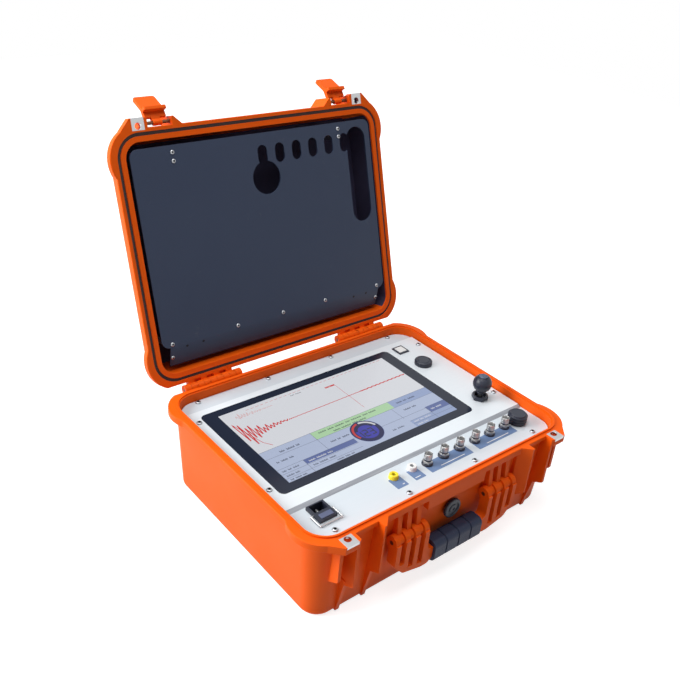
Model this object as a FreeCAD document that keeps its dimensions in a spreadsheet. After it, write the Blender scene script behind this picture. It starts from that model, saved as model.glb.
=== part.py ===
import FreeCAD, Part
import Sketcher
import os
import re

# Portable cable tester built into a moulded carry case, shown open as in use.
# Millimetres. X runs along the case's front, Y from front to back, Z up from the floor under the case.

SIZES = {
    # case outline at the parting plane, and the base tub
    "base_height": 116.0,
    "rim_width": 388.0,
    "rim_depth": 302.0,
    "rim_radius": 34.0,
    "rim_thickness": 9.0,
    "rim_round": 1.2,
    "corner_bulge": 4.5,
    "tub_inset": 5.0,
    "foot_inset": 12.5,
    "foot_round": 8.0,
    "wall": 4.0,
    "opening_inset": 9.2,
    "seal_inset": 6.5,
    "ridge_width": 2.2,
    "ridge_height": 2.0,
    "shelf_inset": 16.0,
    "shelf_thickness": 4.0,
    # lid
    "lid_gap": 0.4,
    "lid_height": 48.0,
    "lid_tub_inset": 9.5,
    "lid_top_inset": 14.0,
    "lip_inset": 14.5,
    "lid_wall": 4.0,
    "groove_width": 4.0,
    "groove_depth": 4.4,
    "gasket_height": 2.4,
    "lid_open_angle": 107.4,
    # hinge
    "hinge_back": 7.5,
    "hinge_drop": 3.3,
    "knuckle_radius": 6.0,
    "knuckle_side": 115.0,
    "knuckle_length": 8.54,
    "knuckle_gap": 0.4,
    "hinge_pin_radius": 2.0,
    "hinge_web_gap": 0.7,
    "running_gap": 0.05,
    # latches and padlock lugs
    "latch_side": 62.5,
    "latch_bay": 31.0,
    "latch_reach": 9.5,
    "latch_wall": 4.0,
    "wedge_width": 15.0,
    "wedge_tip": 2.5,
    "base_cheek_height": 64.0,
    "cheek_taper": 13.0,
    "lid_cheek_height": 29.0,
    "lug_width": 25.0,
    "lug_reach": 11.5,
    "lug_slope": 8.0,
    "lug_rib_side": 16.5,
    "lug_rib_out": 4.0,
    "lug_rib_height": 52.0,
    "padlock_offset": 27.0,
    "padlock_inset": 2.2,
    "padlock_radius": 4.0,
    "padlock_plate_width": 15.5,
    "padlock_plate_depth": 14.0,
    "padlock_plate_thickness": 3.0,
    "latch_pin_out": 4.0,
    "latch_pin_up": 7.0,
    "latch_pin_radius": 2.0,
    "latch_eye_radius": 3.6,
    "latch_eye_width": 11.0,
    "latch_width": 27.0,
    "latch_thickness": 5.0,
    "latch_shoulder": 6.0,
    "latch_swing": 112.0,
    "hook_reach": 4.0,
    "hook_height": 3.9,
    "hook_over": 0.7,
    "catch_thickness": 5.0,
    "tab_out": 12.5,
    "tab_drop": 20.0,
    "tab_edge": 3.5,
    "tab_round": 3.0,
    "fit_gap": 0.6,
    # carrying handle and the ribs that hold it
    "handle_pivot_out": 1.0,
    "handle_pivot_down": 40.0,
    "handle_eye_radius": 8.0,
    "handle_pin_radius": 2.5,
    "handle_gap": 7.0,
    "handle_rib_pitch": 13.75,
    "handle_rib": 6.5,
    "case_rib": 6.0,
    "case_eye_radius": 6.0,
    "handle_drop": 49.0,
    "handle_thickness": 13.0,
    "handle_front": 9.5,
    "handle_bar_height": 14.0,
    "handle_bar_lift": 6.0,
    "handle_slot_low": 1.5,
    "handle_slot_step": 3.0,
    "handle_round": 8.0,
    "grip_margin": 9.25,
    "grip_height": 27.0,
    "grip_thickness": 21.0,
    "grip_round": 7.0,
    "grip_groove": 2.2,
    "grip_groove_depth": 1.2,
    # front wall details
    "brow_margin": 2.25,
    "brow_height": 20.5,
    "brow_thickness": 4.0,
    "valve_down": 41.0,
    "valve_radius": 12.0,
    "valve_stem_radius": 6.0,
    "valve_face": 4.5,
    "corner_rib": 5.0,
    "corner_rib_out": 2.5,
    # instrument panel
    "panel_drop": 10.5,
    "panel_thickness": 3.0,
    "panel_inset": 11.0,
    "frame_inset": 11.6,
    "frame_width": 15.4,
    "frame_height": 12.5,
    "plate_thickness": 2.5,
    "plate_inset": 12.0,
    "plate_front_gap": 66.0,
    "plate_slope": 5.0,
    "plate_back_gap": 34.0,
    "screw_front_gap": 23.0,
    "screw_back_gap": 15.0,
    "screw_corner_gap": 41.0,
    "screw_inner_x": 51.0,
    "screw_edge_gap": 19.0,
    "screw_low_gap": 106.0,
    "screw_high_gap": 55.0,
    "screw_radius": 2.0,
    "screw_head_radius": 3.4,
    "screw_head_height": 2.0,
    "screw_length": 12.0,
    # display
    "glass_left": 25.5,
    "glass_right": 70.5,
    "glass_front": 92.1,
    "glass_back": 43.9,
    "glass_radius": 7.0,
    "glass_thickness": 2.9,
    "bezel_side": 17.5,
    "bezel_end": 10.5,
    "module_border": 6.5,
    "module_thickness": 9.0,
    "seat_gap": 0.3,
    # power button
    "button_side": 51.7,
    "button_back": 53.8,
    "button_frame": 17.5,
    "button_frame_wall": 2.2,
    "button_frame_height": 1.6,
    "button_height": 2.6,
    "button_travel": 1.5,
    "button_stem": 6.0,
    "switch_size": 20.0,
    "switch_depth": 18.0,
    # capped data socket on the display plate
    "cap_side": 49.0,
    "cap_back": 96.0,
    "cap_radius": 12.0,
    "cap_height": 6.5,
    "cap_edge": 1.0,
    "cap_plug_radius": 7.0,
    "cap_plug_depth": 4.0,
    "socket_radius": 9.8,
    "socket_depth": 24.0,
    # joystick
    "stick_side": 45.0,
    "stick_front": 106.7,
    "ball_radius": 12.0,
    "ball_rise": 22.5,
    "ball_flat": 9.6,
    "ball_button_radius": 5.6,
    "ball_button_depth": 4.0,
    "ball_button_proud": 2.0,
    "ball_button_travel": 1.0,
    "neck_radius": 5.0,
    "neck_clear": 2.0,
    "shaft_radius": 2.8,
    "stick_nut_radius": 10.6,
    "stick_nut_height": 6.0,
    "stick_hole_radius": 7.3,
    "stick_pivot_down": 8.0,
    "hub_radius": 5.0,
    "gimbal_inner": 8.5,
    "gimbal_outer": 11.5,
    "gimbal_height": 5.0,
    "trunnion_radius": 1.5,
    "housing_inner": 13.0,
    "housing_outer": 15.5,
    "housing_depth": 20.0,
    # row of coaxial sockets
    "coax_side": 63.5,
    "coax_pitch": 26.0,
    "coax_front": 49.0,
    "coax_radius": 4.8,
    "coax_bore": 4.05,
    "coax_length": 14.5,
    "coax_base_radius": 6.6,
    "coax_base_height": 2.6,
    "coax_lug_radius": 1.0,
    "coax_lug_span": 11.0,
    "coax_lug_up": 11.0,
    "coax_pin_radius": 0.7,
    "coax_tail": 13.0,
    # test sockets
    "yellow_gap": 49.0,
    "white_gap": 21.5,
    "test_socket_front": 51.5,
    "test_socket_radius": 5.8,
    "test_socket_height": 5.5,
    "test_socket_stem": 4.5,
    "test_bore_radius": 2.0,
    "test_bore_depth": 16.0,
    "test_socket_tail": 20.0,
    # mains inlet
    "inlet_side": 45.0,
    "inlet_front": 50.5,
    "inlet_width": 22.0,
    "inlet_depth": 25.0,
    "inlet_height": 4.0,
    "inlet_tail": 26.0,
    "inlet_edge": 1.2,
    "inlet_bay_width": 17.0,
    "inlet_bay_depth": 11.0,
    "inlet_bay_tall": 16.0,
    "inlet_bay_back": 1.6,
    "blade_width": 4.0,
    "blade_thickness": 2.0,
    "blade_pitch": 5.5,
    "blade_short": 6.0,
    "drawer_width": 15.5,
    "drawer_depth": 6.8,
    "drawer_front": 1.6,
    "drawer_length": 20.0,
    "drawer_proud": 0.8,
    "bail_radius": 0.8,
    "bail_side": 3.2,
    "bail_reach": 16.0,
    "bail_shift": 1.0,
    "bail_rise": 1.9,
    # capped round connector
    "round_side": 41.5,
    "round_front": 48.0,
    "round_base_radius": 11.0,
    "round_base_height": 3.0,
    "round_barrel_radius": 8.6,
    "round_barrel_height": 10.0,
    "round_tail": 16.0,
    "round_cap_radius": 11.2,
    "round_cap_wall": 2.2,
    "round_cap_height": 10.5,
    "round_cap_rib": 0.8,
    "round_tab": 4.5,
    # lid insert
    "insert_side_gap": 19.0,
    "insert_front_gap": 22.5,
    "insert_bend_gap": 47.0,
    "insert_back_gap": 22.0,
    "insert_fold": 10.0,
    "insert_thickness": 2.0,
    "insert_lift": 0.2,
    "insert_radius": 10.0,
    "slot_radius": 7.0,
    "slot_length": 24.0,
    "bay_radius": 16.0,
    "bay_under": 1.0,
    "bay_over": 34.3,
    "keyhole_radius": 20.5,
    "keyhole_shift": 2.0,
    "keyhole_rise": 28.0,
    "post_radius": 4.0,
    "post_front_gap": 18.1,
    "post_row_gap": 10.0,
    "post_side_gap": 53.0,
    "post_back_gap": 4.0,
    "post_edge_gap": 13.0,
    "post_inner_x": 69.5,
    "insert_screw_radius": 2.6,
    "insert_screw_height": 1.4,
    "lining_thickness": 1.5,
    "lining_gap": 1.0,
    # inside the base
    "tray_side": 44.0,
    "tray_end": 51.0,
    "tray_thickness": 2.0,
    "supply_gap": 11.0,
    "supply_depth": 96.0,
    "supply_height": 42.0,
    "battery_gap": 9.0,
    "battery_depth": 92.0,
    "battery_height": 46.0,
    "strap_width": 30.0,
    "strap_thickness": 1.5,
    "board_inset": 5.0,
    "board_thickness": 1.6,
    "board_drop": 12.0,
    "standoff_radius": 3.0,
    "pulse_board_depth": 34.0,
    "pulse_board_margin": 12.0,
}

# Sizes and places that follow from the ones above, so the contents keep to the case's outline
TIES = {
    "knuckle_start": "rim_width / 2 - knuckle_side",
    "latch_centre": "rim_width / 2 - latch_side",
    "handle_end": "latch_centre - latch_bay / 2 - wedge_width - handle_gap",
    "handle_rib_first": "handle_end - handle_rib / 2 - 3 * handle_rib_pitch",
    "grip_length": "2 * (handle_rib_first - handle_rib / 2 - grip_margin)",
    "brow_width": "2 * (handle_rib_first - handle_rib / 2 - brow_margin)",
    "plate_front": "rim_depth / 2 - plate_front_gap",
    "plate_back": "rim_depth / 2 - plate_back_gap",
    "screw_row_front": "rim_depth / 2 - screw_front_gap",
    "screw_row_back": "rim_depth / 2 - screw_back_gap",
    "screw_outer_x": "rim_width / 2 - screw_corner_gap",
    "screw_side_x": "rim_width / 2 - screw_edge_gap",
    "screw_side_front": "rim_depth / 2 - screw_low_gap",
    "screw_side_back": "rim_depth / 2 - screw_high_gap",
    "glass_width": "rim_width - glass_left - glass_right",
    "glass_depth": "rim_depth - glass_front - glass_back",
    "display_x": "(glass_left - glass_right) / 2",
    "display_y": "(glass_front - glass_back) / 2",
    "screen_width": "glass_width - 2 * bezel_side",
    "screen_depth": "glass_depth - 2 * bezel_end",
    "button_x": "rim_width / 2 - button_side",
    "button_y": "rim_depth / 2 - button_back",
    "cap_x": "rim_width / 2 - cap_side",
    "cap_y": "rim_depth / 2 - cap_back",
    "stick_x": "rim_width / 2 - stick_side",
    "stick_y": "stick_front - rim_depth / 2",
    "coax_first_x": "rim_width / 2 - coax_side - 5 * coax_pitch",
    "coax_y": "coax_front - rim_depth / 2",
    "yellow_x": "coax_first_x - yellow_gap",
    "white_x": "coax_first_x - white_gap",
    "test_socket_y": "test_socket_front - rim_depth / 2",
    "inlet_x": "inlet_side - rim_width / 2",
    "inlet_y": "inlet_front - rim_depth / 2",
    "bail_pivot_y": "inlet_y - bail_shift",
    "round_x": "rim_width / 2 - round_side",
    "round_y": "round_front - rim_depth / 2",
    "insert_half_width": "rim_width / 2 - insert_side_gap",
    "insert_front": "rim_depth / 2 - insert_front_gap",
    "insert_bend": "rim_depth / 2 - insert_bend_gap",
    "insert_back": "rim_depth / 2 - insert_back_gap",
    "bay_x": "(stick_x + round_x) / 2",
    "keyhole_x": "coax_first_x + keyhole_shift",
    "keyhole_y": "coax_y + keyhole_rise",
    "post_row_front": "insert_front - post_front_gap",
    "post_front_x": "insert_half_width - post_side_gap",
    "post_row_back": "insert_bend - post_back_gap",
    "post_outer_x": "insert_half_width - post_edge_gap",
    "tray_width": "rim_width - 2 * tray_side",
    "tray_depth": "rim_depth - 2 * tray_end",
    "bay_spacing": "tray_width / 2",
    "supply_width": "tray_width / 2 - 2 * supply_gap",
    "battery_width": "tray_width / 2 - 2 * battery_gap",
    "board_width": "screen_width - 2 * board_inset",
    "board_depth": "screen_depth - 2 * board_inset",
}

doc = FreeCAD.newDocument("cable_tester")
sheet = doc.addObject("Spreadsheet::Sheet", "dims")
for row, (alias, value) in enumerate(SIZES.items(), start=1):
    sheet.set(f"A{row}", alias)
    sheet.set(f"B{row}", str(value))
    sheet.setAlias(f"B{row}", alias)
probe = doc.addObject("Spreadsheet::Sheet", "probe")
doc.recompute()

WORD = re.compile(r"[a-z][a-z0-9_]*")
AXES = {"x": FreeCAD.Vector(1, 0, 0), "y": FreeCAD.Vector(0, 1, 0), "z": FreeCAD.Vector(0, 0, 1)}
ALONG = {
    "x": FreeCAD.Rotation(AXES["y"], 90),
    "y": FreeCAD.Rotation(AXES["x"], -90),
    "z": FreeCAD.Rotation(),
}
nodes = {}


def bound(text):
    """The expression text with every size name pointing at its cell and every tie written out."""
    def cell(found):
        name = found[0]
        if name in TIES:
            return f"({bound(TIES[name])})"
        return f"dims.{name}" if name in SIZES else name
    return WORD.sub(cell, str(text))


def number(text):
    """The present value of an expression, used to start sketches near their final shape."""
    probe.set("A1", f"={bound(text)}")
    probe.recompute()
    return float(probe.get("A1"))


def place_at(item, x, y, z):
    for axis, text in zip("xyz", (x, y, z)):
        item.setExpression(f"Placement.Base.{axis}", bound(text))


def box(name, x, y, z):
    """A box between pairs of limits along X, Y and Z."""
    item = doc.addObject("Part::Box", name)
    for side, (low, high) in zip(("Length", "Width", "Height"), (x, y, z)):
        item.setExpression(side, bound(f"({high}) - ({low})"))
    place_at(item, x[0], y[0], z[0])
    return item


def rod(name, axis, radius, ends, centre):
    """A cylinder along one axis between two ends; centre gives the other two coordinates in order."""
    item = doc.addObject("Part::Cylinder", name)
    item.Placement = FreeCAD.Placement(FreeCAD.Vector(), ALONG[axis])
    item.setExpression("Radius", bound(radius))
    item.setExpression("Height", bound(f"({ends[1]}) - ({ends[0]})"))
    spot = list(centre)
    spot.insert("xyz".index(axis), ends[0])
    place_at(item, *spot)
    return item


def taper(name, low_radius, high_radius, ends, centre):
    """An upright cone frustum."""
    item = doc.addObject("Part::Cone", name)
    item.setExpression("Radius1", bound(low_radius))
    item.setExpression("Radius2", bound(high_radius))
    item.setExpression("Height", bound(f"({ends[1]}) - ({ends[0]})"))
    place_at(item, centre[0], centre[1], ends[0])
    return item


def ball(name, radius, centre):
    item = doc.addObject("Part::Sphere", name)
    item.setExpression("Radius", bound(radius))
    place_at(item, *centre)
    return item


def fuse(name, *items):
    if len(items) == 1:
        return items[0]
    item = doc.addObject("Part::MultiFuse", name)
    item.Shapes = list(items)
    item.Refine = True
    return item


def cut(name, base, *tools):
    item = doc.addObject("Part::Cut", name)
    item.Base = base
    item.Tool = fuse(f"{name}_tools", *tools)
    item.Refine = True
    return item


def group(name, *items):
    """Separate solids kept together as one node."""
    item = doc.addObject("Part::Compound", name)
    item.Links = list(items)
    return item


def new_sketch(body, name, plane, offset="0"):
    item = body.newObject("Sketcher::SketchObject", name)
    support = next(face for face in body.Origin.OriginFeatures if face.Role == f"{plane}_Plane")
    item.AttachmentSupport = (support, "")
    item.MapMode = "FlatFace"
    item.setExpression("AttachmentOffset.Base.z", bound(offset))
    return item


def hold(sketch, kind, *arguments):
    """Add a constraint whose last argument is an expression, and tie it to the sheet."""
    index = sketch.addConstraint(Sketcher.Constraint(kind, *arguments[:-1], number(arguments[-1])))
    sketch.setExpression(f"Constraints[{index}]", bound(arguments[-1]))


def polygon(sketch, points):
    """A closed outline with every corner held by its two coordinates."""
    spots = [FreeCAD.Vector(number(x), number(y), 0) for x, y in points]
    ring = [sketch.addGeometry(Part.LineSegment(spots[i - 1], spots[i])) for i in range(len(spots))]
    for i, (x, y) in enumerate(points):
        following = ring[(i + 1) % len(ring)]
        sketch.addConstraint(Sketcher.Constraint("Coincident", ring[i], 2, following, 1))
        hold(sketch, "DistanceX", following, 1, x)
        hold(sketch, "DistanceY", following, 1, y)


def disc(sketch, x, y, radius):
    centre = FreeCAD.Vector(number(x), number(y), 0)
    edge = sketch.addGeometry(Part.Circle(centre, AXES["z"], number(radius)))
    hold(sketch, "Radius", edge, radius)
    hold(sketch, "DistanceX", edge, 3, x)
    hold(sketch, "DistanceY", edge, 3, y)


def rounded_rect(sketch, width, depth, radius, x="0", y="0"):
    """A rectangle with round corners about a centre."""
    across, along, bend = number(width) / 2, number(depth) / 2, number(radius)
    middle = FreeCAD.Vector(number(x), number(y), 0)
    quarter = 1.5707963267948966
    arcs = []
    for i, (side, end) in enumerate(((1, 1), (-1, 1), (-1, -1), (1, -1))):
        spot = middle + FreeCAD.Vector(side * (across - bend), end * (along - bend), 0)
        circle = Part.Circle(spot, AXES["z"], bend)
        arcs.append(sketch.addGeometry(Part.ArcOfCircle(circle, i * quarter, (i + 1) * quarter)))
        hold(sketch, "Radius", arcs[-1], radius)
        hold(sketch, "DistanceX", arcs[-1], 3, f"({x}) + {side} * (({width}) / 2 - ({radius}))")
        hold(sketch, "DistanceY", arcs[-1], 3, f"({y}) + {end} * (({depth}) / 2 - ({radius}))")
    for i, arc in enumerate(arcs):
        following = arcs[(i + 1) % 4]
        start = sketch.getPoint(arc, 2)
        finish = sketch.getPoint(following, 1)
        line = sketch.addGeometry(Part.LineSegment(start, finish))
        sketch.addConstraint(Sketcher.Constraint("Tangent", arc, 2, line, 1))
        sketch.addConstraint(Sketcher.Constraint("Tangent", line, 2, following, 1))


def obround(sketch, x, ends, radius):
    """A slot along the sketch's second axis; ends are the centres of its two round ends."""
    low, high = (FreeCAD.Vector(number(x), number(end), 0) for end in ends)
    bend = number(radius)
    half_turn = 3.141592653589793
    top = sketch.addGeometry(Part.ArcOfCircle(Part.Circle(high, AXES["z"], bend), 0, half_turn))
    foot = sketch.addGeometry(Part.ArcOfCircle(Part.Circle(low, AXES["z"], bend), half_turn, 2 * half_turn))
    for arc, end in ((top, ends[1]), (foot, ends[0])):
        hold(sketch, "Radius", arc, radius)
        hold(sketch, "DistanceX", arc, 3, x)
        hold(sketch, "DistanceY", arc, 3, end)
    for first, second in ((top, foot), (foot, top)):
        start = sketch.getPoint(first, 2)
        finish = sketch.getPoint(second, 1)
        line = sketch.addGeometry(Part.LineSegment(start, finish))
        sketch.addConstraint(Sketcher.Constraint("Tangent", first, 2, line, 1))
        sketch.addConstraint(Sketcher.Constraint("Tangent", line, 2, second, 1))


def new_body(name):
    return doc.addObject("PartDesign::Body", name)


def pad(body, sketch, length, down=False):
    item = body.newObject("PartDesign::Pad", f"{sketch.Name}_pad")
    item.Profile = sketch
    item.setExpression("Length", bound(length))
    item.Reversed = down
    return item


def pocket(body, sketch, length, up=False):
    item = body.newObject("PartDesign::Pocket", f"{sketch.Name}_pocket")
    item.Profile = sketch
    item.setExpression("Length", bound(length))
    item.Reversed = up
    return item


def round_edges(body, feature, radius, wanted):
    """Fillet the edges of a feature that the test picks."""
    doc.recompute()
    picked = [f"Edge{i}" for i, edge in enumerate(feature.Shape.Edges, start=1) if wanted(edge)]
    item = body.newObject("PartDesign::Fillet", f"{feature.Name}_round")
    item.Base = (feature, picked)
    item.setExpression("Radius", bound(radius))
    return item


def level(edge):
    """True for an edge that lies at one height."""
    return edge.BoundBox.ZLength < size("wall") / 100


def prism(name, plane, points, ends):
    """An outline in the YZ, XZ or XY plane drawn out between two positions across it."""
    body = new_body(name)
    # the XZ plane faces the front, so its own offset runs against Y
    flip = plane == "XZ"
    start = f"-({ends[1]})" if flip else ends[0]
    sketch = new_sketch(body, f"{name}_outline", plane, start)
    polygon(sketch, points)
    pad(body, sketch, f"({ends[1]}) - ({ends[0]})")
    return body


def slab(name, width, depth, radius, z, x="0", y="0"):
    """A flat plate with round corners between two heights."""
    body = new_body(name)
    sketch = new_sketch(body, f"{name}_outline", "XY", z[0])
    rounded_rect(sketch, width, depth, radius, x, y)
    pad(body, sketch, f"({z[1]}) - ({z[0]})")
    return body


def rim_outline(sketch, inset):
    """The case's own outline, moved in from the rim's outer edge."""
    rounded_rect(sketch, f"rim_width - 2 * ({inset})", f"rim_depth - 2 * ({inset})", f"rim_radius - ({inset})")


def rim_slab(name, inset, z):
    body = new_body(name)
    sketch = new_sketch(body, f"{name}_outline", "XY", z[0])
    rim_outline(sketch, inset)
    pad(body, sketch, f"({z[1]}) - ({z[0]})")
    return body


def rim_flange(name, z):
    """The thick rim of a shell with its upper and lower edges eased."""
    body = rim_slab(name, "0", z)
    round_edges(body, body.Tip, "rim_round", level)
    return body


def rim_ring(name, outer, inner, z):
    """A ring that follows the rim between two insets."""
    body = new_body(name)
    sketch = new_sketch(body, f"{name}_outline", "XY", z[0])
    rim_outline(sketch, outer)
    rim_outline(sketch, inner)
    pad(body, sketch, f"({z[1]}) - ({z[0]})")
    return body


def rim_taper(name, wide, narrow):
    """A drafted block; wide and narrow give the inset and the height of its two ends."""
    body = new_body(name)
    sketch = new_sketch(body, f"{name}_outline", "XY", wide[1])
    rim_outline(sketch, wide[0])
    drop = f"({wide[1]}) - ({narrow[1]})"
    down = number(drop) > 0
    item = pad(body, sketch, drop if down else f"-({drop})", down)
    item.setExpression("TaperAngle", bound(f"-atan(({narrow[0]} - ({wide[0]})) / abs({drop}))"))
    return body, item


def node(name, item, placement=None):
    """Give a finished piece its name and, if it rides on the lid, its place there."""
    item.Label = name
    nodes[name] = (item, placement)
    return item


def both(maker):
    """The same piece on the right and on the left of the case."""
    return [maker(side, word) for side, word in ((1, "right"), (-1, "left"))]


def across(side, low, high):
    """A pair of X limits on one side of the case, smaller one first."""
    return (f"{low}", f"{high}") if side > 0 else (f"-({high})", f"-({low})")


# Heights and reference lines that several pieces share
PARTING = "base_height"
LID_FACE = "base_height + lid_gap"
FRONT = "rim_depth / 2"
PANEL_TOP = "base_height - panel_drop"
PANEL_FOOT = "base_height - panel_drop - panel_thickness"
PLATE_TOP = "base_height - panel_drop + plate_thickness"
HINGE_Y = "rim_depth / 2 + hinge_back"
HINGE_Z = "base_height - hinge_drop"
HANDLE_Y = "-(rim_depth / 2 + handle_pivot_out)"
HANDLE_Z = "base_height - handle_pivot_down"
LATCH_Y = "-(rim_depth / 2 + latch_pin_out)"
LATCH_Z = "base_height + lid_gap + latch_pin_up"
BAY_IN = "latch_centre - latch_bay / 2"
BAY_OUT = "latch_centre + latch_bay / 2"
WALL_ROOT = "-(rim_depth / 2 - foot_inset - wall / 2)"


def size(alias):
    return float(sheet.get(alias))


hinge_line = FreeCAD.Vector(0, number(HINGE_Y), number(HINGE_Z))
latch_line = FreeCAD.Vector(0, number(LATCH_Y), number(LATCH_Z))


def turned(line, angle):
    return FreeCAD.Placement(FreeCAD.Vector(), FreeCAD.Rotation(AXES["x"], angle), line)


LID_OPEN = turned(hinge_line, -size("lid_open_angle"))
LATCH_OPEN = LID_OPEN * turned(latch_line, -size("latch_swing"))


# Front lugs: each latch sits in a bay between a wedge-shaped cheek and a plain cheek beside the padlock lug

def cheek_prisms(name, side, z):
    """The two upright cheeks of one latch bay."""
    reach = f"-({FRONT} + latch_reach)"
    wedge = [
        (BAY_IN, WALL_ROOT),
        (BAY_IN, reach),
        (f"{BAY_IN} - wedge_tip", reach),
        (f"{BAY_IN} - wedge_width", f"-({FRONT} - wedge_tip)"),
        (f"{BAY_IN} - wedge_width", WALL_ROOT),
    ]
    plain = [
        (BAY_OUT, WALL_ROOT),
        (BAY_OUT, reach),
        (f"{BAY_OUT} + latch_wall", reach),
        (f"{BAY_OUT} + latch_wall", WALL_ROOT),
    ]
    made = []
    for part, outline in (("wedge", wedge), ("cheek", plain)):
        points = [(f"{side} * ({x})", y) for x, y in outline]
        made.append(prism(f"{name}_{part}", "XY", points, z))
    return made


def tapered_cheeks(side, word):
    """The base's two cheeks, running back into the wall at their feet."""
    tip, root = f"{PARTING} - base_cheek_height", f"{PARTING} - base_cheek_height - cheek_taper"
    far, foot = f"-({FRONT} + 2 * latch_reach)", f"{root} - cheek_taper"
    below = [(far, tip), (f"-({FRONT} + latch_reach)", tip), (WALL_ROOT, root), (WALL_ROOT, foot), (far, foot)]
    trim = prism(f"cheek_trim_{word}", "YZ", below, across(side, f"{BAY_IN} - wedge_width", f"{BAY_OUT} + latch_wall"))
    pair = fuse(f"base_cheek_pair_{word}", *cheek_prisms(f"base_{word}", side, (root, PARTING)))
    return cut(f"base_cheeks_{word}", pair, trim)


def padlock_lug(name, side, z):
    """The flat lug that carries the padlock plate, sloping back into the corner."""
    reach = f"-({FRONT} + lug_reach)"
    outline = [
        (BAY_OUT, f"-({FRONT} - seal_inset)"),
        (BAY_OUT, f"-({FRONT} + latch_reach)"),
        (f"{BAY_OUT} + latch_wall", reach),
        (f"{BAY_OUT} + lug_width - latch_wall", reach),
        (f"{BAY_OUT} + lug_width + lug_slope", f"-({FRONT} - wall / 4)"),
        (f"{BAY_OUT} + lug_width + lug_slope", f"-({FRONT} - seal_inset)"),
    ]
    return prism(name, "XY", [(f"{side} * ({x})", y) for x, y in outline], z)


def catch_relief(side, word):
    """The rim is thinner in each latch bay, so the hook finds a lip to hold."""
    return box(f"catch_relief_{word}", across(side, BAY_IN, BAY_OUT),
               (f"-({FRONT} + wall)", f"-({FRONT} - tub_inset)"),
               (f"{PARTING} - rim_thickness", f"{PARTING} - catch_thickness"))


PADLOCK_X = "latch_centre + padlock_offset"
PADLOCK_Y = "-(rim_depth / 2 + padlock_inset)"
PLATE_FRONT_Y = "-(rim_depth / 2 + lug_reach)"


def padlock_seat(name, side, z):
    """The block that is both the steel plate and the seat cut for it."""
    x = across(side, f"{PADLOCK_X} - padlock_plate_width / 2", f"{PADLOCK_X} + padlock_plate_width / 2")
    return box(name, x, (PLATE_FRONT_Y, f"{PLATE_FRONT_Y} + padlock_plate_depth"), z)


def padlock_hole(name, side, z):
    return rod(name, "z", "padlock_radius", z, (f"{side} * ({PADLOCK_X})", PADLOCK_Y))


def corner_bulges(name, z):
    """Swellings round the four corners of a rim, flush with its front and back edges."""
    made = []
    for side in (1, -1):
        for end in (1, -1):
            tag = f"{name}_{len(made)}"
            swelling = new_body(tag)
            sketch = new_sketch(swelling, f"{tag}_outline", "XY", z[0])
            disc(sketch, f"{side} * (rim_width / 2 - rim_radius)", f"{end} * (rim_depth / 2 - rim_radius)",
                 "rim_radius + corner_bulge")
            round_edges(swelling, pad(swelling, sketch, f"({z[1]}) - ({z[0]})"), "rim_round", level)
            made.append(swelling)
    trims = [box(f"{name}_trim_{word}", ("-rim_width", "rim_width"), y, z)
             for word, y in (("front", ("-rim_depth", f"-({FRONT})")), ("back", (FRONT, "rim_depth")))]
    return [cut(f"{name}_set", fuse(f"{name}_discs", *made), *trims)]


def knuckle_ends(side, index):
    """X limits of one hinge knuckle, counted from the case's middle."""
    low = f"knuckle_start + {index} * (knuckle_length + knuckle_gap)"
    return across(side, low, f"{low} + knuckle_length")


def knuckles(name, indexes, arm):
    """Hinge knuckles with the arms that tie them to a rim."""
    made = []
    for side in (1, -1):
        for index in indexes:
            tag = f"{name}_{len(made)}"
            x = knuckle_ends(side, index)
            made.append(rod(f"{tag}_eye", "x", "knuckle_radius", x, (HINGE_Y, HINGE_Z)))
            made.append(box(f"{tag}_arm", x, (f"{FRONT} - seal_inset", HINGE_Y), arm))
    return made


BASE_KNUCKLES = (0, 2, 4, 6, 8)
LID_KNUCKLES = (1, 3, 5, 7)
HINGE_ENDS = (knuckle_ends(1, BASE_KNUCKLES[0])[0], knuckle_ends(1, BASE_KNUCKLES[-1])[1])
WEB_ENDS = (knuckle_ends(1, LID_KNUCKLES[0])[0], knuckle_ends(1, LID_KNUCKLES[-1])[1])


def hinge_rods(name, radius):
    return both(lambda side, word: rod(
        f"{name}_{word}", "x", radius, across(side, *HINGE_ENDS), (HINGE_Y, HINGE_Z)))


# Base shell: a drafted tub with a thick rim, latch bays, handle ribs and hinge knuckles

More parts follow.
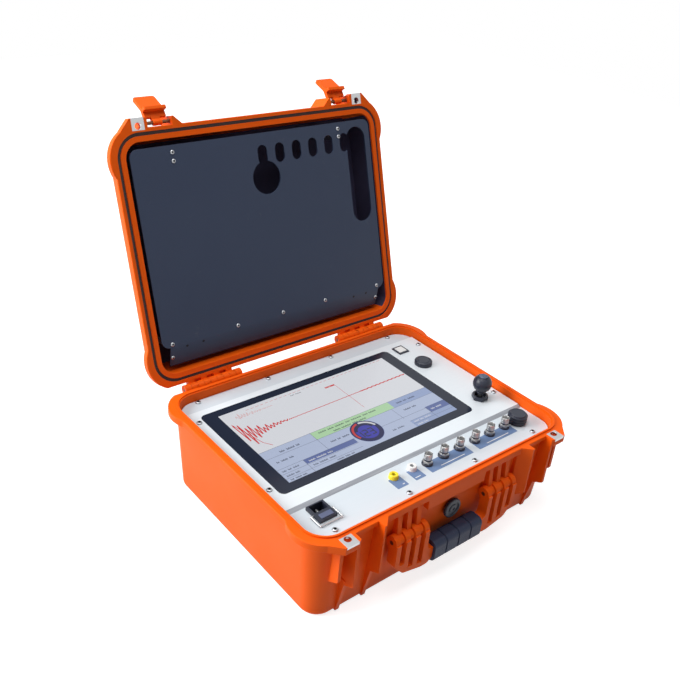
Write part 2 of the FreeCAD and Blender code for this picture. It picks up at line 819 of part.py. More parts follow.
def build_base_shell():
    rim = (f"{PARTING} - rim_thickness", PARTING)
    tub, draft = rim_taper("base_tub", ("tub_inset", PARTING), ("foot_inset", "0"))
    round_edges(tub, draft, "foot_round", lambda edge: edge.BoundBox.ZMax < size("wall") / 100)
    solids = [tub, rim_flange("base_rim", rim)]
    solids += corner_bulges("base_bulge", rim)
    solids += knuckles("base_knuckle", BASE_KNUCKLES, (f"{HINGE_Z} - knuckle_radius", HINGE_Z))
    holes = hinge_rods("base_hinge_bore", "hinge_pin_radius")
    for side, word in ((1, "right"), (-1, "left")):
        solids.append(tapered_cheeks(side, word))
        solids.append(padlock_lug(f"base_lug_{word}", side, rim))
        holes.append(padlock_seat(
            f"base_seat_{word}", side, (f"{PARTING} - padlock_plate_thickness", f"{PARTING} + wall")))
        holes.append(padlock_hole(f"base_padlock_{word}", side, rim))
        holes.append(catch_relief(side, word))
        holes.append(rod(f"base_handle_bore_{word}", "x", "handle_pin_radius",
                         across(side, *HANDLE_SPAN), (HANDLE_Y, HANDLE_Z)))
        solids += lug_rib(side, word)
        solids += corner_ribs(side, word)
        for index in range(3):
            solids += case_rib(side, word, index)
    solids += brow()
    holes.append(rod("valve_bore", "y", "valve_stem_radius", (f"-({FRONT})", f"-({FRONT} - 4 * wall)"),
                     ("0", f"{PARTING} - valve_down")))
    cavity, _ = rim_taper("base_cavity", ("opening_inset", PARTING), ("foot_inset + wall", "wall"))
    shell = cut("base_hollow", fuse("base_outer", *solids), cavity, *holes)
    shelf_top = f"{PANEL_FOOT} - frame_height"
    shelf = rim_ring("panel_shelf", "(tub_inset + opening_inset) / 2 + wall / 2", "shelf_inset",
                     (f"{shelf_top} - shelf_thickness", shelf_top))
    ridge = rim_ring("seal_ridge", "seal_inset - ridge_width / 2", "seal_inset + ridge_width / 2",
                     (PARTING, f"{PARTING} + ridge_height"))
    node("base_shell", fuse("base_whole", shell, shelf, ridge))


HANDLE_SPAN = (
    "handle_rib_first - handle_rib / 2",
    "handle_rib_first + 3 * handle_rib_pitch + handle_rib / 2",
)


def case_rib(side, word, index):
    """One upright rib of the front wall, ending in an eye for the handle pin."""
    middle = f"handle_rib_first + ({index} + 0.5) * handle_rib_pitch"
    x = across(side, f"{middle} - case_rib / 2", f"{middle} + case_rib / 2")
    top = f"{PARTING} - rim_thickness / 2"
    face = f"-({FRONT} - wall / 2)"
    outline = [
        (WALL_ROOT, top),
        (face, top),
        (f"{HANDLE_Y}", f"{HANDLE_Z} + case_eye_radius"),
        (f"{HANDLE_Y}", f"{HANDLE_Z} - case_eye_radius"),
        (WALL_ROOT, f"{HANDLE_Z} - 2 * handle_eye_radius"),
    ]
    tag = f"case_rib_{word}_{index}"
    return [
        prism(tag, "YZ", outline, x),
        rod(f"{tag}_eye", "x", "case_eye_radius", x, (HANDLE_Y, HANDLE_Z)),
    ]


def lug_rib(side, word):
    """The web under the outer end of the padlock lug."""
    x = across(side, f"{BAY_OUT} + lug_rib_side", f"{BAY_OUT} + lug_rib_side + latch_wall")
    outline = [
        (WALL_ROOT, f"{PARTING} - rim_thickness / 2"),
        (f"-({FRONT} + lug_rib_out)", f"{PARTING} - rim_thickness / 2"),
        (f"-({FRONT} + lug_rib_out)", f"{PARTING} - lug_rib_height"),
        (WALL_ROOT, f"{PARTING} - lug_rib_height - cheek_taper"),
    ]
    return [prism(f"lug_rib_{word}", "YZ", outline, x)]


def corner_ribs(side, word):
    """Low ribs that run from the latch bay's cheeks down to the floor."""
    outline = [
        (WALL_ROOT, f"{PARTING} - base_cheek_height"),
        (f"-({FRONT} + corner_rib_out - wall)", f"{PARTING} - base_cheek_height"),
        (f"-({FRONT} - foot_inset + corner_rib_out)", "foot_round"),
        (f"-({FRONT} - foot_inset + corner_rib_out / 2)", "foot_round / 4"),
        (WALL_ROOT, "foot_round / 4"),
    ]
    made = []
    for spot, middle in (("inner", f"{BAY_IN} - corner_rib / 2"), ("outer", f"{BAY_OUT} + corner_rib / 2")):
        x = across(side, f"{middle} - corner_rib / 2", f"{middle} + corner_rib / 2")
        made.append(prism(f"corner_rib_{word}_{spot}", "YZ", outline, x))
    return made


def brow():
    """The plain plate over the valve, hung from the rim, with two gussets behind it."""
    face = f"-({FRONT})"
    plate = box("brow_plate", ("-brow_width / 2", "brow_width / 2"), (face, f"{face} + brow_thickness"),
                (f"{PARTING} - brow_height", f"{PARTING} - rim_thickness / 2"))
    made = [plate]
    for side, word in ((1, "right"), (-1, "left")):
        outer = "brow_width / 2"
        x = across(side, f"{outer} - brow_thickness", outer)
        made.append(box(f"brow_gusset_{word}", x, (face, WALL_ROOT),
                        (f"{PARTING} - brow_height", f"{PARTING} - rim_thickness / 2")))
    return made


# Lid shell: shallower tub, rim with the seal groove, latch bays, padlock lugs and hinge knuckles

def build_lid_shell():
    rim = (LID_FACE, f"{LID_FACE} + rim_thickness")
    cheek = (LID_FACE, f"{LID_FACE} + lid_cheek_height")
    top = f"{LID_FACE} + lid_height"
    tub, draft = rim_taper("lid_tub", ("lid_tub_inset", LID_FACE), ("lid_top_inset", top))
    crown = number(top) - size("wall") / 100
    round_edges(tub, draft, "foot_round", lambda edge: edge.BoundBox.ZMin > crown)
    solids = [tub, rim_flange("lid_rim", rim)]
    solids += corner_bulges("lid_bulge", rim)
    solids += knuckles("lid_knuckle", LID_KNUCKLES, (LID_FACE, f"{LID_FACE} + knuckle_radius"))
    web_z = (f"{HINGE_Z} + knuckle_radius + hinge_web_gap", f"{LID_FACE} + knuckle_radius")
    solids += both(lambda side, word: box(
        f"lid_hinge_web_{word}", across(side, *WEB_ENDS), (f"{FRONT} - seal_inset", HINGE_Y), web_z))
    holes = hinge_rods("lid_hinge_bore", "hinge_pin_radius + running_gap")
    for side, word in ((1, "right"), (-1, "left")):
        solids += cheek_prisms(f"lid_{word}", side, cheek)
        solids.append(padlock_lug(f"lid_lug_{word}", side, rim))
        holes.append(padlock_seat(
            f"lid_seat_{word}", side, (f"{LID_FACE} - wall", f"{LID_FACE} + padlock_plate_thickness")))
        holes.append(padlock_hole(f"lid_padlock_{word}", side, rim))
        holes.append(rod(f"lid_latch_bore_{word}", "x", "latch_pin_radius",
                         across(side, *LATCH_PIN_ENDS), (LATCH_Y, LATCH_Z)))
    cavity, _ = rim_taper("lid_cavity", ("lip_inset", LID_FACE), ("lid_top_inset + lid_wall", f"{top} - lid_wall"))
    groove = rim_ring("seal_groove", "seal_inset - groove_width / 2", "seal_inset + groove_width / 2",
                      (LID_FACE, f"{LID_FACE} + groove_depth"))
    node("lid_shell", cut("lid_whole", fuse("lid_outer", *solids), cavity, groove, *holes), LID_OPEN)
    gasket = rim_ring("lid_gasket", "seal_inset - groove_width / 2", "seal_inset + groove_width / 2",
                      (f"{LID_FACE} + groove_depth - gasket_height", f"{LID_FACE} + groove_depth"))
    node("lid_gasket", gasket, LID_OPEN)


LATCH_PIN_ENDS = (f"{BAY_IN} - latch_wall", f"{BAY_OUT} + latch_wall")


# Steel hardware of the case: hinge pins, padlock plates and latch pins

def build_case_hardware():
    node("hinge_pins", group("hinge_pin_pair", *hinge_rods("hinge_pin", "hinge_pin_radius")))
    base_z = (f"{PARTING} - padlock_plate_thickness", PARTING)
    lid_z = (LID_FACE, f"{LID_FACE} + padlock_plate_thickness")
    for name, z, placement in (("base_padlock_plates", base_z, None), ("lid_padlock_plates", lid_z, LID_OPEN)):
        plates = both(lambda side, word: cut(
            f"{name}_{word}", padlock_seat(f"{name}_{word}_block", side, z),
            padlock_hole(f"{name}_{word}_hole", side, z)))
        node(name, group(f"{name}_pair", *plates), placement)
    pins = both(lambda side, word: rod(
        f"latch_pin_{word}", "x", "latch_pin_radius", across(side, *LATCH_PIN_ENDS), (LATCH_Y, LATCH_Z)))
    node("latch_pins", group("latch_pin_pair", *pins), LID_OPEN)


# Latches: each swings on a pin in the lid, hooks under the base rim and ends in a finger tab, drawn closed

def latch_span(side, width):
    middle = "latch_centre"
    return across(side, f"{middle} - ({width}) / 2", f"{middle} + ({width}) / 2")


def build_latch(side, word):
    front = f"{LATCH_Y} - latch_eye_radius"
    back = f"{front} + latch_thickness"
    shoulder = f"{LATCH_Z} - latch_shoulder"
    hook_top = f"{PARTING} - catch_thickness - fit_gap"
    foot = f"{hook_top} - hook_height"
    profile = [
        (front, shoulder),
        (front, foot),
        (f"{back} - tab_out - tab_edge", f"{foot} - tab_drop + tab_edge * tab_out / tab_drop"),
        (f"{back} - tab_out", f"{foot} - tab_drop"),
        (back, foot),
        (back, shoulder),
    ]
    plate = prism(f"latch_plate_{word}", "YZ", profile, latch_span(side, "latch_width"))
    low = number(f"{foot} - tab_drop / 2")
    round_edges(plate, plate.Tip, "tab_round",
                lambda edge: edge.BoundBox.ZMax < low and edge.BoundBox.XLength < size("wall") / 100)
    tip = f"-({FRONT} - hook_reach)"
    ledge = [(back, hook_top), (tip, hook_top), (tip, foot), (back, foot)]
    hook = prism(f"latch_hook_{word}", "YZ", ledge, latch_span(side, "latch_width + 2 * hook_over"))
    inner = number(tip) - size("wall") / 100
    round_edges(hook, hook.Tip, "hook_height / 2",
                lambda edge: edge.BoundBox.YMin > inner and edge.BoundBox.XLength < size("wall") / 100)
    neck = box(f"latch_neck_{word}", latch_span(side, "latch_eye_width"), (front, back), (shoulder, LATCH_Z))
    eye = rod(f"latch_eye_{word}", "x", "latch_eye_radius", latch_span(side, "latch_eye_width"), (LATCH_Y, LATCH_Z))
    bore = rod(f"latch_bore_{word}", "x", "latch_pin_radius + running_gap",
               latch_span(side, "latch_eye_width"), (LATCH_Y, LATCH_Z))
    body = cut(f"latch_whole_{word}", fuse(f"latch_solid_{word}", plate, hook, neck, eye), bore)
    node(f"latch_body_{word}", body, LATCH_OPEN)


# Carrying handle: ribbed arms on two pins, joined by a bar inside a soft grip

HANDLE_FACE = f"{HANDLE_Y} - handle_front"
HANDLE_BACK = f"{HANDLE_Y} - handle_front + handle_thickness"
HANDLE_FOOT = f"{HANDLE_Z} - handle_drop"


def build_handle():
    inner, outer = HANDLE_SPAN
    half_grip = "grip_length / 2"
    bar_low = f"{HANDLE_FOOT} + handle_bar_lift"
    bar_high = f"{bar_low} + handle_bar_height"
    bar = box("handle_bar", (f"-({inner})", inner), (HANDLE_FACE, HANDLE_BACK), (bar_low, bar_high))
    solids = [bar]
    slots = []
    for side, word in ((1, "right"), (-1, "left")):
        wing = [
            (inner, HANDLE_Z),
            (inner, bar_high),
            (half_grip, bar_high),
            (half_grip, bar_low),
            (f"{half_grip} + handle_bar_lift", HANDLE_FOOT),
            (f"{inner} + handle_rib_pitch / 2", HANDLE_FOOT),
            (f"{outer} - handle_rib_pitch", f"{HANDLE_FOOT} + handle_bar_lift"),
            (outer, f"{bar_low} + handle_bar_height"),
            (outer, HANDLE_Z),
        ]
        points = [(f"{side} * ({x})", z) for x, z in wing]
        arm = prism(f"handle_wing_{word}", "XZ", points, (HANDLE_FACE, HANDLE_BACK))
        root = number(f"{half_grip} + handle_bar_lift / 2")
        knee = number(f"{bar_high} + handle_bar_lift")
        round_edges(arm, arm.Tip, "handle_round",
                    lambda edge: edge.BoundBox.YLength > size("wall") and level(edge)
                    and edge.BoundBox.XLength < size("wall") / 100
                    and edge.BoundBox.ZMax < knee and abs(edge.CenterOfMass.x) > root)
        solids.append(arm)
        solids.append(rod(f"handle_eye_{word}", "x", "handle_eye_radius",
                          across(side, inner, outer), (HANDLE_Y, HANDLE_Z)))
        for index in range(3):
            middle = f"handle_rib_first + ({index} + 0.5) * handle_rib_pitch"
            half = "case_rib / 2 + fit_gap"
            x = across(side, f"{middle} - ({half})", f"{middle} + {half}")
            low = f"{bar_low} + handle_slot_low + {index * index} * handle_slot_step"
            slots.append(box(f"handle_slot_{word}_{index}", x,
                             (f"{HANDLE_Y} - 2 * handle_eye_radius", f"{HANDLE_Y} + 2 * handle_eye_radius"),
                             (low, f"{HANDLE_Z} + 2 * handle_eye_radius")))
        slots.append(rod(f"handle_bore_{word}", "x", "handle_pin_radius + running_gap",
                         across(side, inner, outer), (HANDLE_Y, HANDLE_Z)))
    node("carry_handle", cut("handle_whole", fuse("handle_solid", *solids), *slots))

    middle = (f"({HANDLE_FACE} + {HANDLE_BACK}) / 2", f"{bar_low} + handle_bar_height / 2")
    sleeve = grip_sleeve("grip_sleeve", ("-grip_length / 2", "grip_length / 2"), "grip_groove_depth", middle)
    pieces = [sleeve]
    for index in range(4):
        low = f"-grip_length / 2 + {index} * (grip_length + grip_groove) / 4"
        ends = (low, f"{low} + (grip_length + grip_groove) / 4 - grip_groove")
        pieces.append(grip_sleeve(f"grip_segment_{index}", ends, "0", middle))
    core = box("grip_core", ("-grip_length / 2", "grip_length / 2"), (HANDLE_FACE, HANDLE_BACK), (bar_low, bar_high))
    node("handle_grip", cut("grip_whole", fuse("grip_solid", *pieces), core))
    pins = both(lambda side, word: rod(
        f"handle_pin_{word}", "x", "handle_pin_radius", across(side, *HANDLE_SPAN), (HANDLE_Y, HANDLE_Z)))
    node("handle_pins", group("handle_pin_pair", *pins))


def grip_sleeve(name, ends, shrink, middle):
    """One stretch of the grip: a rounded section about the bar."""
    body = new_body(name)
    sketch = new_sketch(body, f"{name}_outline", "YZ", ends[0])
    rounded_rect(sketch, f"grip_thickness - 2 * {shrink}", f"grip_height - 2 * {shrink}",
                 f"grip_round - {shrink}", *middle)
    pad(body, sketch, f"({ends[1]}) - ({ends[0]})")
    return body


# Pressure valve in the front wall

VALVE_SEAT = "-(rim_depth / 2 - tub_inset)"


def build_valve():
    height = f"{PARTING} - valve_down"
    inside = "-(rim_depth / 2 - foot_inset - 2 * wall)"
    head = rod("valve_head", "y", "valve_radius", (f"{VALVE_SEAT} - valve_face", VALVE_SEAT), ("0", height))
    stem = rod("valve_stem", "y", "valve_stem_radius", (VALVE_SEAT, inside), ("0", height))
    node("pressure_valve", fuse("valve_whole", head, stem))


# Instrument panel: a frame on the case's shelf, the base panel and the raised display plate

def screw_spots():
    spots = []
    for side in (1, -1):
        for x in ("screw_outer_x", "screw_inner_x"):
            spots.append((f"{side} * {x}", "-screw_row_front"))
            spots.append((f"{side} * {x}", "screw_row_back"))
    return spots


def side_screw_spots():
    return [(f"{side} * screw_side_x", y) for side in (1, -1) for y in ("-screw_side_front", "screw_side_back")]


def coax_x(index):
    return f"coax_first_x + {index} * coax_pitch"


def build_panel():
    frame = rim_ring("frame_ring", "frame_inset", "frame_inset + frame_width",
                     (f"{PANEL_FOOT} - frame_height", PANEL_FOOT))
    tapped = [rod(f"frame_hole_{i}", "z", "screw_radius", (f"{PANEL_TOP} - screw_length", PANEL_FOOT), spot)
              for i, spot in enumerate(screw_spots())]
    tapped += [rod(f"frame_side_hole_{i}", "z", "screw_radius", (f"{PLATE_TOP} - screw_length", PANEL_FOOT), spot)
               for i, spot in enumerate(side_screw_spots())]
    node("panel_frame", cut("frame_whole", frame, *tapped))

    panel = rim_slab("panel_blank", "panel_inset", (PANEL_FOOT, PANEL_TOP))
    holes = new_sketch(panel, "panel_holes", "XY", PANEL_TOP)
    for x, y in screw_spots() + side_screw_spots():
        disc(holes, x, y, "screw_radius")
    for index in range(6):
        disc(holes, coax_x(index), "coax_y", "coax_radius")
    for x in ("yellow_x", "white_x"):
        disc(holes, x, "test_socket_y", "test_socket_stem")
    disc(holes, "round_x", "round_y", "round_barrel_radius")
    disc(holes, "cap_x", "cap_y", "socket_radius")
    disc(holes, "stick_x", "stick_y", "stick_hole_radius")
    pocket(panel, holes, "panel_thickness")
    windows = new_sketch(panel, "panel_windows", "XY", PANEL_TOP)
    rounded_rect(windows, "screen_width", "screen_depth", "screw_radius", "display_x", "display_y")
    rounded_rect(windows, "button_frame - 2 * seat_gap", "button_frame - 2 * seat_gap", "seat_gap",
                 "button_x", "button_y")
    rounded_rect(windows, "inlet_width - 2 * inlet_edge + 2 * seat_gap",
                 "inlet_depth - 2 * inlet_edge + 2 * seat_gap", "seat_gap", "inlet_x", "inlet_y")
    pocket(panel, windows, "panel_thickness")
    node("base_panel", panel)

    half = "rim_width / 2 - plate_inset"
    outline = [
        ("-plate_front", PANEL_TOP),
        ("-plate_front + plate_slope", PLATE_TOP),
        ("plate_back", PLATE_TOP),
        ("plate_back", PANEL_TOP),
    ]
    plate = prism("plate_blank", "YZ", outline, (f"-({half})", half))
    openings = new_sketch(plate, "plate_openings", "XY", PLATE_TOP)
    rounded_rect(openings, "glass_width + 2 * seat_gap", "glass_depth + 2 * seat_gap", "glass_radius + seat_gap",
                 "display_x", "display_y")
    rounded_rect(openings, "button_frame - 2 * seat_gap", "button_frame - 2 * seat_gap", "seat_gap",
                 "button_x", "button_y")
    disc(openings, "cap_x", "cap_y", "socket_radius")
    disc(openings, "stick_x", "stick_y", "stick_hole_radius")
    for x, y in side_screw_spots():
        disc(openings, x, y, "screw_radius")
    pocket(plate, openings, "plate_thickness")
    node("display_plate", plate)

    node("panel_screws", group("panel_screw_set", *screws("panel_screw", screw_spots(), PANEL_TOP)))
    node("plate_screws", group("plate_screw_set", *screws("plate_screw", side_screw_spots(), PLATE_TOP)))


def screws(name, spots, seat):
    """Button-head screws standing on one surface."""
    made = []
    for i, spot in enumerate(spots):
        head = taper(f"{name}_head_{i}", "screw_head_radius", "screw_head_radius * 0.7",
                     (seat, f"{seat} + screw_head_height"), spot)
        shank = rod(f"{name}_shank_{i}", "z", "screw_radius", (f"{seat} - screw_length", seat), spot)
        made.append(fuse(f"{name}_{i}", head, shank))
    return made


def build_display():
    glass_top = f"{PANEL_TOP} + glass_thickness"
    node("display_glass", slab("glass", "glass_width", "glass_depth", "glass_radius", (PANEL_TOP, glass_top),
                               "display_x", "display_y"))
    back = f"{PANEL_FOOT} - module_thickness"
    case = slab("module_case", "screen_width + 2 * module_border", "screen_depth + 2 * module_border",
                "screw_radius", (back, PANEL_FOOT), "display_x", "display_y")
    face = slab("module_face", "screen_width", "screen_depth", "screw_radius", (PANEL_FOOT, PANEL_TOP),
                "display_x", "display_y")
    node("lcd_module", fuse("module_whole", case, face))


# Square power button in its frame, over a sealed switch

def square(name, width, x, y, z):
    return box(name, (f"{x} - ({width}) / 2", f"{x} + ({width}) / 2"),
               (f"{y} - ({width}) / 2", f"{y} + ({width}) / 2"), z)


def build_power_button():
    top = f"{PLATE_TOP} + button_frame_height"
    well = "button_frame - 2 * button_frame_wall"
    collar = square("button_collar", "button_frame", "button_x", "button_y", (PLATE_TOP, top))
    sleeve = square("button_sleeve", "button_frame - 4 * seat_gap", "button_x", "button_y", (PANEL_FOOT, PLATE_TOP))
    hollow = square("button_well", well, "button_x", "button_y", (PANEL_FOOT, top))
    node("power_button_frame", cut("button_frame_whole", fuse("button_frame_solid", collar, sleeve), hollow))
    cap_top = f"{top} + button_travel / 3"
    cap_foot = f"{cap_top} - button_height"
    cap = square("button_cap", f"{well} - 2 * seat_gap", "button_x", "button_y", (cap_foot, cap_top))
    stem_foot = f"{PANEL_FOOT} - switch_depth / 2"
    stem = square("button_stem", "button_stem", "button_x", "button_y", (stem_foot, cap_foot))
    node("power_button", fuse("button_whole", cap, stem))
    case = square("switch_case", "switch_size", "button_x", "button_y", (f"{PANEL_FOOT} - switch_depth", PANEL_FOOT))
    shaft = square("switch_shaft", "button_stem + 2 * seat_gap", "button_x", "button_y",
                   (f"{stem_foot} - 2 * button_travel", PANEL_FOOT))
    node("power_switch", cut("switch_whole", case, shaft))


# Round cap over the data socket

def build_data_socket():
    spot = ("cap_x", "cap_y")
    bore_radius = "cap_plug_radius + seat_gap"
    barrel = rod("data_barrel", "z", "socket_radius", (f"{PLATE_TOP} - socket_depth", PLATE_TOP), spot)
    bore = rod("data_bore", "z", bore_radius, (f"{PLATE_TOP} - 2 * cap_plug_depth", PLATE_TOP), spot)
    node("data_socket", cut("data_socket_whole", barrel, bore))
    shoulder = f"{PLATE_TOP} + cap_height - cap_edge"
    disc_low = rod("cap_disc", "z", "cap_radius", (PLATE_TOP, shoulder), spot)
    disc_top = taper("cap_crown", "cap_radius", "cap_radius - cap_edge", (shoulder, f"{shoulder} + cap_edge"), spot)
    plug = rod("cap_plug", "z", "cap_plug_radius", (f"{PLATE_TOP} - cap_plug_depth", PLATE_TOP), spot)
    node("data_cap", fuse("cap_whole", disc_low, disc_top, plug))


# Joystick: a ball on a shaft carried by a gimbal ring under the panel

def build_joystick():
    x, y = "stick_x", "stick_y"
    spot = (x, y)
    pivot = f"{PANEL_FOOT} - stick_pivot_down"
    middle = f"{PLATE_TOP} + ball_rise"
    nut_top = f"{PLATE_TOP} + stick_nut_height"
    neck_foot = f"{nut_top} + neck_clear"

    nut_body = doc.addObject("Part::Prism", "stick_nut_body")
    nut_body.Polygon = 6
    nut_body.setExpression("Circumradius", bound("stick_nut_radius"))
    nut_body.setExpression("Height", bound("stick_nut_height"))
    place_at(nut_body, x, y, PLATE_TOP)
    nut_hole = rod("stick_nut_hole", "z", "stick_hole_radius", (PLATE_TOP, nut_top), spot)
    node("joystick_nut", cut("stick_nut_whole", nut_body, nut_hole))

    tube = rod("stick_tube", "z", "housing_outer", (f"{PANEL_FOOT} - housing_depth", PANEL_FOOT), spot)
    room = rod("stick_room", "z", "housing_inner", (f"{PANEL_FOOT} - housing_depth + wall", PANEL_FOOT), spot)
    bearing = rod("stick_bearing", "y", "trunnion_radius + running_gap",
                  (f"{y} - housing_outer", f"{y} + housing_outer"), (x, pivot))
    node("joystick_housing", cut("stick_housing_whole", tube, room, bearing))

    ends = (f"{pivot} - gimbal_height / 2", f"{pivot} + gimbal_height / 2")
    ring = rod("gimbal_ring", "z", "gimbal_outer", ends, spot)
    ring_hole = rod("gimbal_hole", "z", "gimbal_inner", ends, spot)
    shaft_bore = rod("gimbal_bearing", "x", "trunnion_radius + running_gap",
                     (f"{x} - gimbal_outer", f"{x} + gimbal_outer"), (y, pivot))
    open_ring = cut("gimbal_open", ring, ring_hole, shaft_bore)
    stubs = []
    for side in (1, -1):
        near, far = "gimbal_outer - wall / 4", "housing_outer"
        limits = (f"{y} + {near}", f"{y} + {far}") if side > 0 else (f"{y} - {far}", f"{y} - ({near})")
        stubs.append(rod(f"gimbal_stub_{len(stubs)}", "y", "trunnion_radius", limits, (x, pivot)))
    node("joystick_gimbal", fuse("gimbal_whole", open_ring, *stubs))

    hub = ball("stick_hub", "hub_radius", (x, y, pivot))
    trunnion = rod("stick_trunnion", "x", "trunnion_radius", (f"{x} - gimbal_outer", f"{x} + gimbal_outer"), (y, pivot))
    shaft = rod("stick_shaft", "z", "shaft_radius", (pivot, neck_foot), spot)
    node("joystick_stick", fuse("stick_whole", hub, trunnion, shaft))

    neck = rod("stick_neck", "z", "neck_radius", (neck_foot, middle), spot)
    sphere = fuse("stick_knob", ball("stick_ball", "ball_radius", (x, y, middle)), neck)

    flat = f"{middle} + ball_flat"
    crop = square("ball_crop", "2 * ball_radius", x, y, (flat, f"{middle} + 2 * ball_radius"))
    well_foot = f"{flat} - ball_button_depth - ball_button_travel - seat_gap"
    well = rod("ball_well", "z", "ball_button_radius + seat_gap", (well_foot, flat), spot)
    node("joystick_ball", cut("ball_whole", sphere, crop, well))
    button = rod("ball_button", "z", "ball_button_radius",
                 (f"{flat} - ball_button_depth", f"{flat} + ball_button_proud"), spot)
    node("joystick_button", button)


# Six coaxial bayonet sockets in a row

def build_coax_sockets():
    shells, nuts = [], []
    for index in range(6):
        x = coax_x(index)
        spot = (x, "coax_y")
        tag = f"coax_{index}"
        top = f"{PANEL_TOP} + coax_length"
        barrel = rod(f"{tag}_barrel", "z", "coax_radius", (f"{PANEL_FOOT} - coax_tail", top), spot)
        lugs = rod(f"{tag}_lugs", "x", "coax_lug_radius", (f"{x} - coax_lug_span / 2", f"{x} + coax_lug_span / 2"),
                   ("coax_y", f"{PANEL_TOP} + coax_lug_up"))
        bore = rod(f"{tag}_bore", "z", "coax_bore", (f"{PANEL_TOP} + coax_base_height", top), spot)
        pin = rod(f"{tag}_pin", "z", "coax_pin_radius", (f"{PANEL_TOP}", f"{top} - coax_lug_span / 4"), spot)
        shells.append(fuse(tag, cut(f"{tag}_shell", fuse(f"{tag}_solid", barrel, lugs), bore), pin))
        collar = rod(f"{tag}_collar", "z", "coax_base_radius", (PANEL_TOP, f"{PANEL_TOP} + coax_base_height"), spot)
        hole = rod(f"{tag}_collar_hole", "z", "coax_radius", (PANEL_TOP, f"{PANEL_TOP} + coax_base_height"), spot)
        nuts.append(cut(f"{tag}_insulator", collar, hole))
    node("coax_sockets", group("coax_socket_row", *shells))
    node("coax_insulators", group("coax_insulator_row", *nuts))


# Two single-pole test sockets

def build_test_sockets():
    for name, x in (("yellow_socket", "yellow_x"), ("white_socket", "white_x")):
        spot = (x, "test_socket_y")
        top = f"{PANEL_TOP} + test_socket_height"
        head = taper(f"{name}_head", "test_socket_radius", "test_socket_radius * 0.88", (PANEL_TOP, top), spot)
        stem = rod(f"{name}_stem", "z", "test_socket_stem", (f"{PANEL_FOOT} - test_socket_tail", PANEL_TOP), spot)
        bore = rod(f"{name}_bore", "z", "test_bore_radius", (f"{top} - test_bore_depth", top), spot)
        node(name, cut(f"{name}_whole", fuse(f"{name}_solid", head, stem), bore))


# Mains inlet with its blades, fuse drawer and cord bail

def build_inlet():
    def span(width, offset="0", axis="x"):
        middle = f"inlet_{axis} + ({offset})"
        return (f"{middle} - ({width}) / 2", f"{middle} + ({width}) / 2")

    top = f"{PANEL_TOP} + inlet_height"
    tail = f"{PANEL_FOOT} - inlet_tail"
    flange = box("inlet_flange", span("inlet_width"), span("inlet_depth", axis="y"), (PANEL_TOP, top))
    rear = box("inlet_rear", span("inlet_width - 2 * inlet_edge"), span("inlet_depth - 2 * inlet_edge", axis="y"),
               (tail, PANEL_TOP))
    bay_y = "inlet_depth / 2 - inlet_bay_back - inlet_bay_depth / 2"
    bay = box("inlet_bay", span("inlet_bay_width"), span("inlet_bay_depth", bay_y, "y"),
              (f"{top} - inlet_bay_tall", top))
    drawer_y = "-(inlet_depth / 2 - drawer_front - drawer_depth / 2)"
    room = box("drawer_room", span("drawer_width + 2 * seat_gap"), span("drawer_depth + 2 * seat_gap", drawer_y, "y"),
               (f"{top} - drawer_length - seat_gap", top))
    pivot_z = f"{PANEL_TOP} + bail_rise"
    sockets = []
    stub_in = "inlet_width / 2 - 2 * inlet_edge"
    stub_out = "inlet_width / 2 + bail_side"
    for side in (1, -1):
        ends = across(1, stub_in, stub_out)
        low, high = (f"inlet_x + {ends[0]}", f"inlet_x + {ends[1]}")
        if side < 0:
            low, high = (f"inlet_x - ({ends[1]})", f"inlet_x - ({ends[0]})")
        sockets.append((low, high))
    bail_bores = [rod(f"bail_bore_{i}", "x", "bail_radius + running_gap", ends, ("bail_pivot_y", pivot_z))
                  for i, ends in enumerate(sockets)]
    node("mains_inlet", cut("inlet_whole", fuse("inlet_solid", flange, rear), bay, room, *bail_bores))

    floor = f"{top} - inlet_bay_tall"
    tip = f"{top} - blade_short"
    blades = []
    for i, (shift, back) in enumerate((("-blade_pitch", "-blade_thickness"), ("blade_pitch", "-blade_thickness"),
                                       ("0", "blade_thickness"))):
        blades.append(box(f"blade_{i}", span("blade_thickness", shift),
                          span("blade_width", f"{bay_y} + ({back})", "y"), (floor, tip)))
    node("inlet_blades", group("blade_set", *blades))
    node("fuse_drawer", box("drawer_block", span("drawer_width"), span("drawer_depth", drawer_y, "y"),
                            (f"{top} - drawer_length", f"{top} + drawer_proud")))

    far = "bail_pivot_y - bail_reach"
    left, right = f"inlet_x - ({stub_out})", f"inlet_x + {stub_out}"
    wire = [rod(f"bail_stub_{i}", "x", "bail_radius", ends, ("bail_pivot_y", pivot_z))
            for i, ends in enumerate(sockets)]
    for i, x in enumerate((left, right)):
        wire.append(rod(f"bail_leg_{i}", "y", "bail_radius", (far, "bail_pivot_y"), (x, pivot_z)))
        wire.append(ball(f"bail_bend_{i}", "bail_radius", (x, "bail_pivot_y", pivot_z)))
        wire.append(ball(f"bail_corner_{i}", "bail_radius", (x, far, pivot_z)))
    wire.append(rod("bail_bar", "x", "bail_radius", (left, right), (far, pivot_z)))
    node("inlet_bail", fuse("bail_whole", *wire))


# Round data connector with its ribbed cap

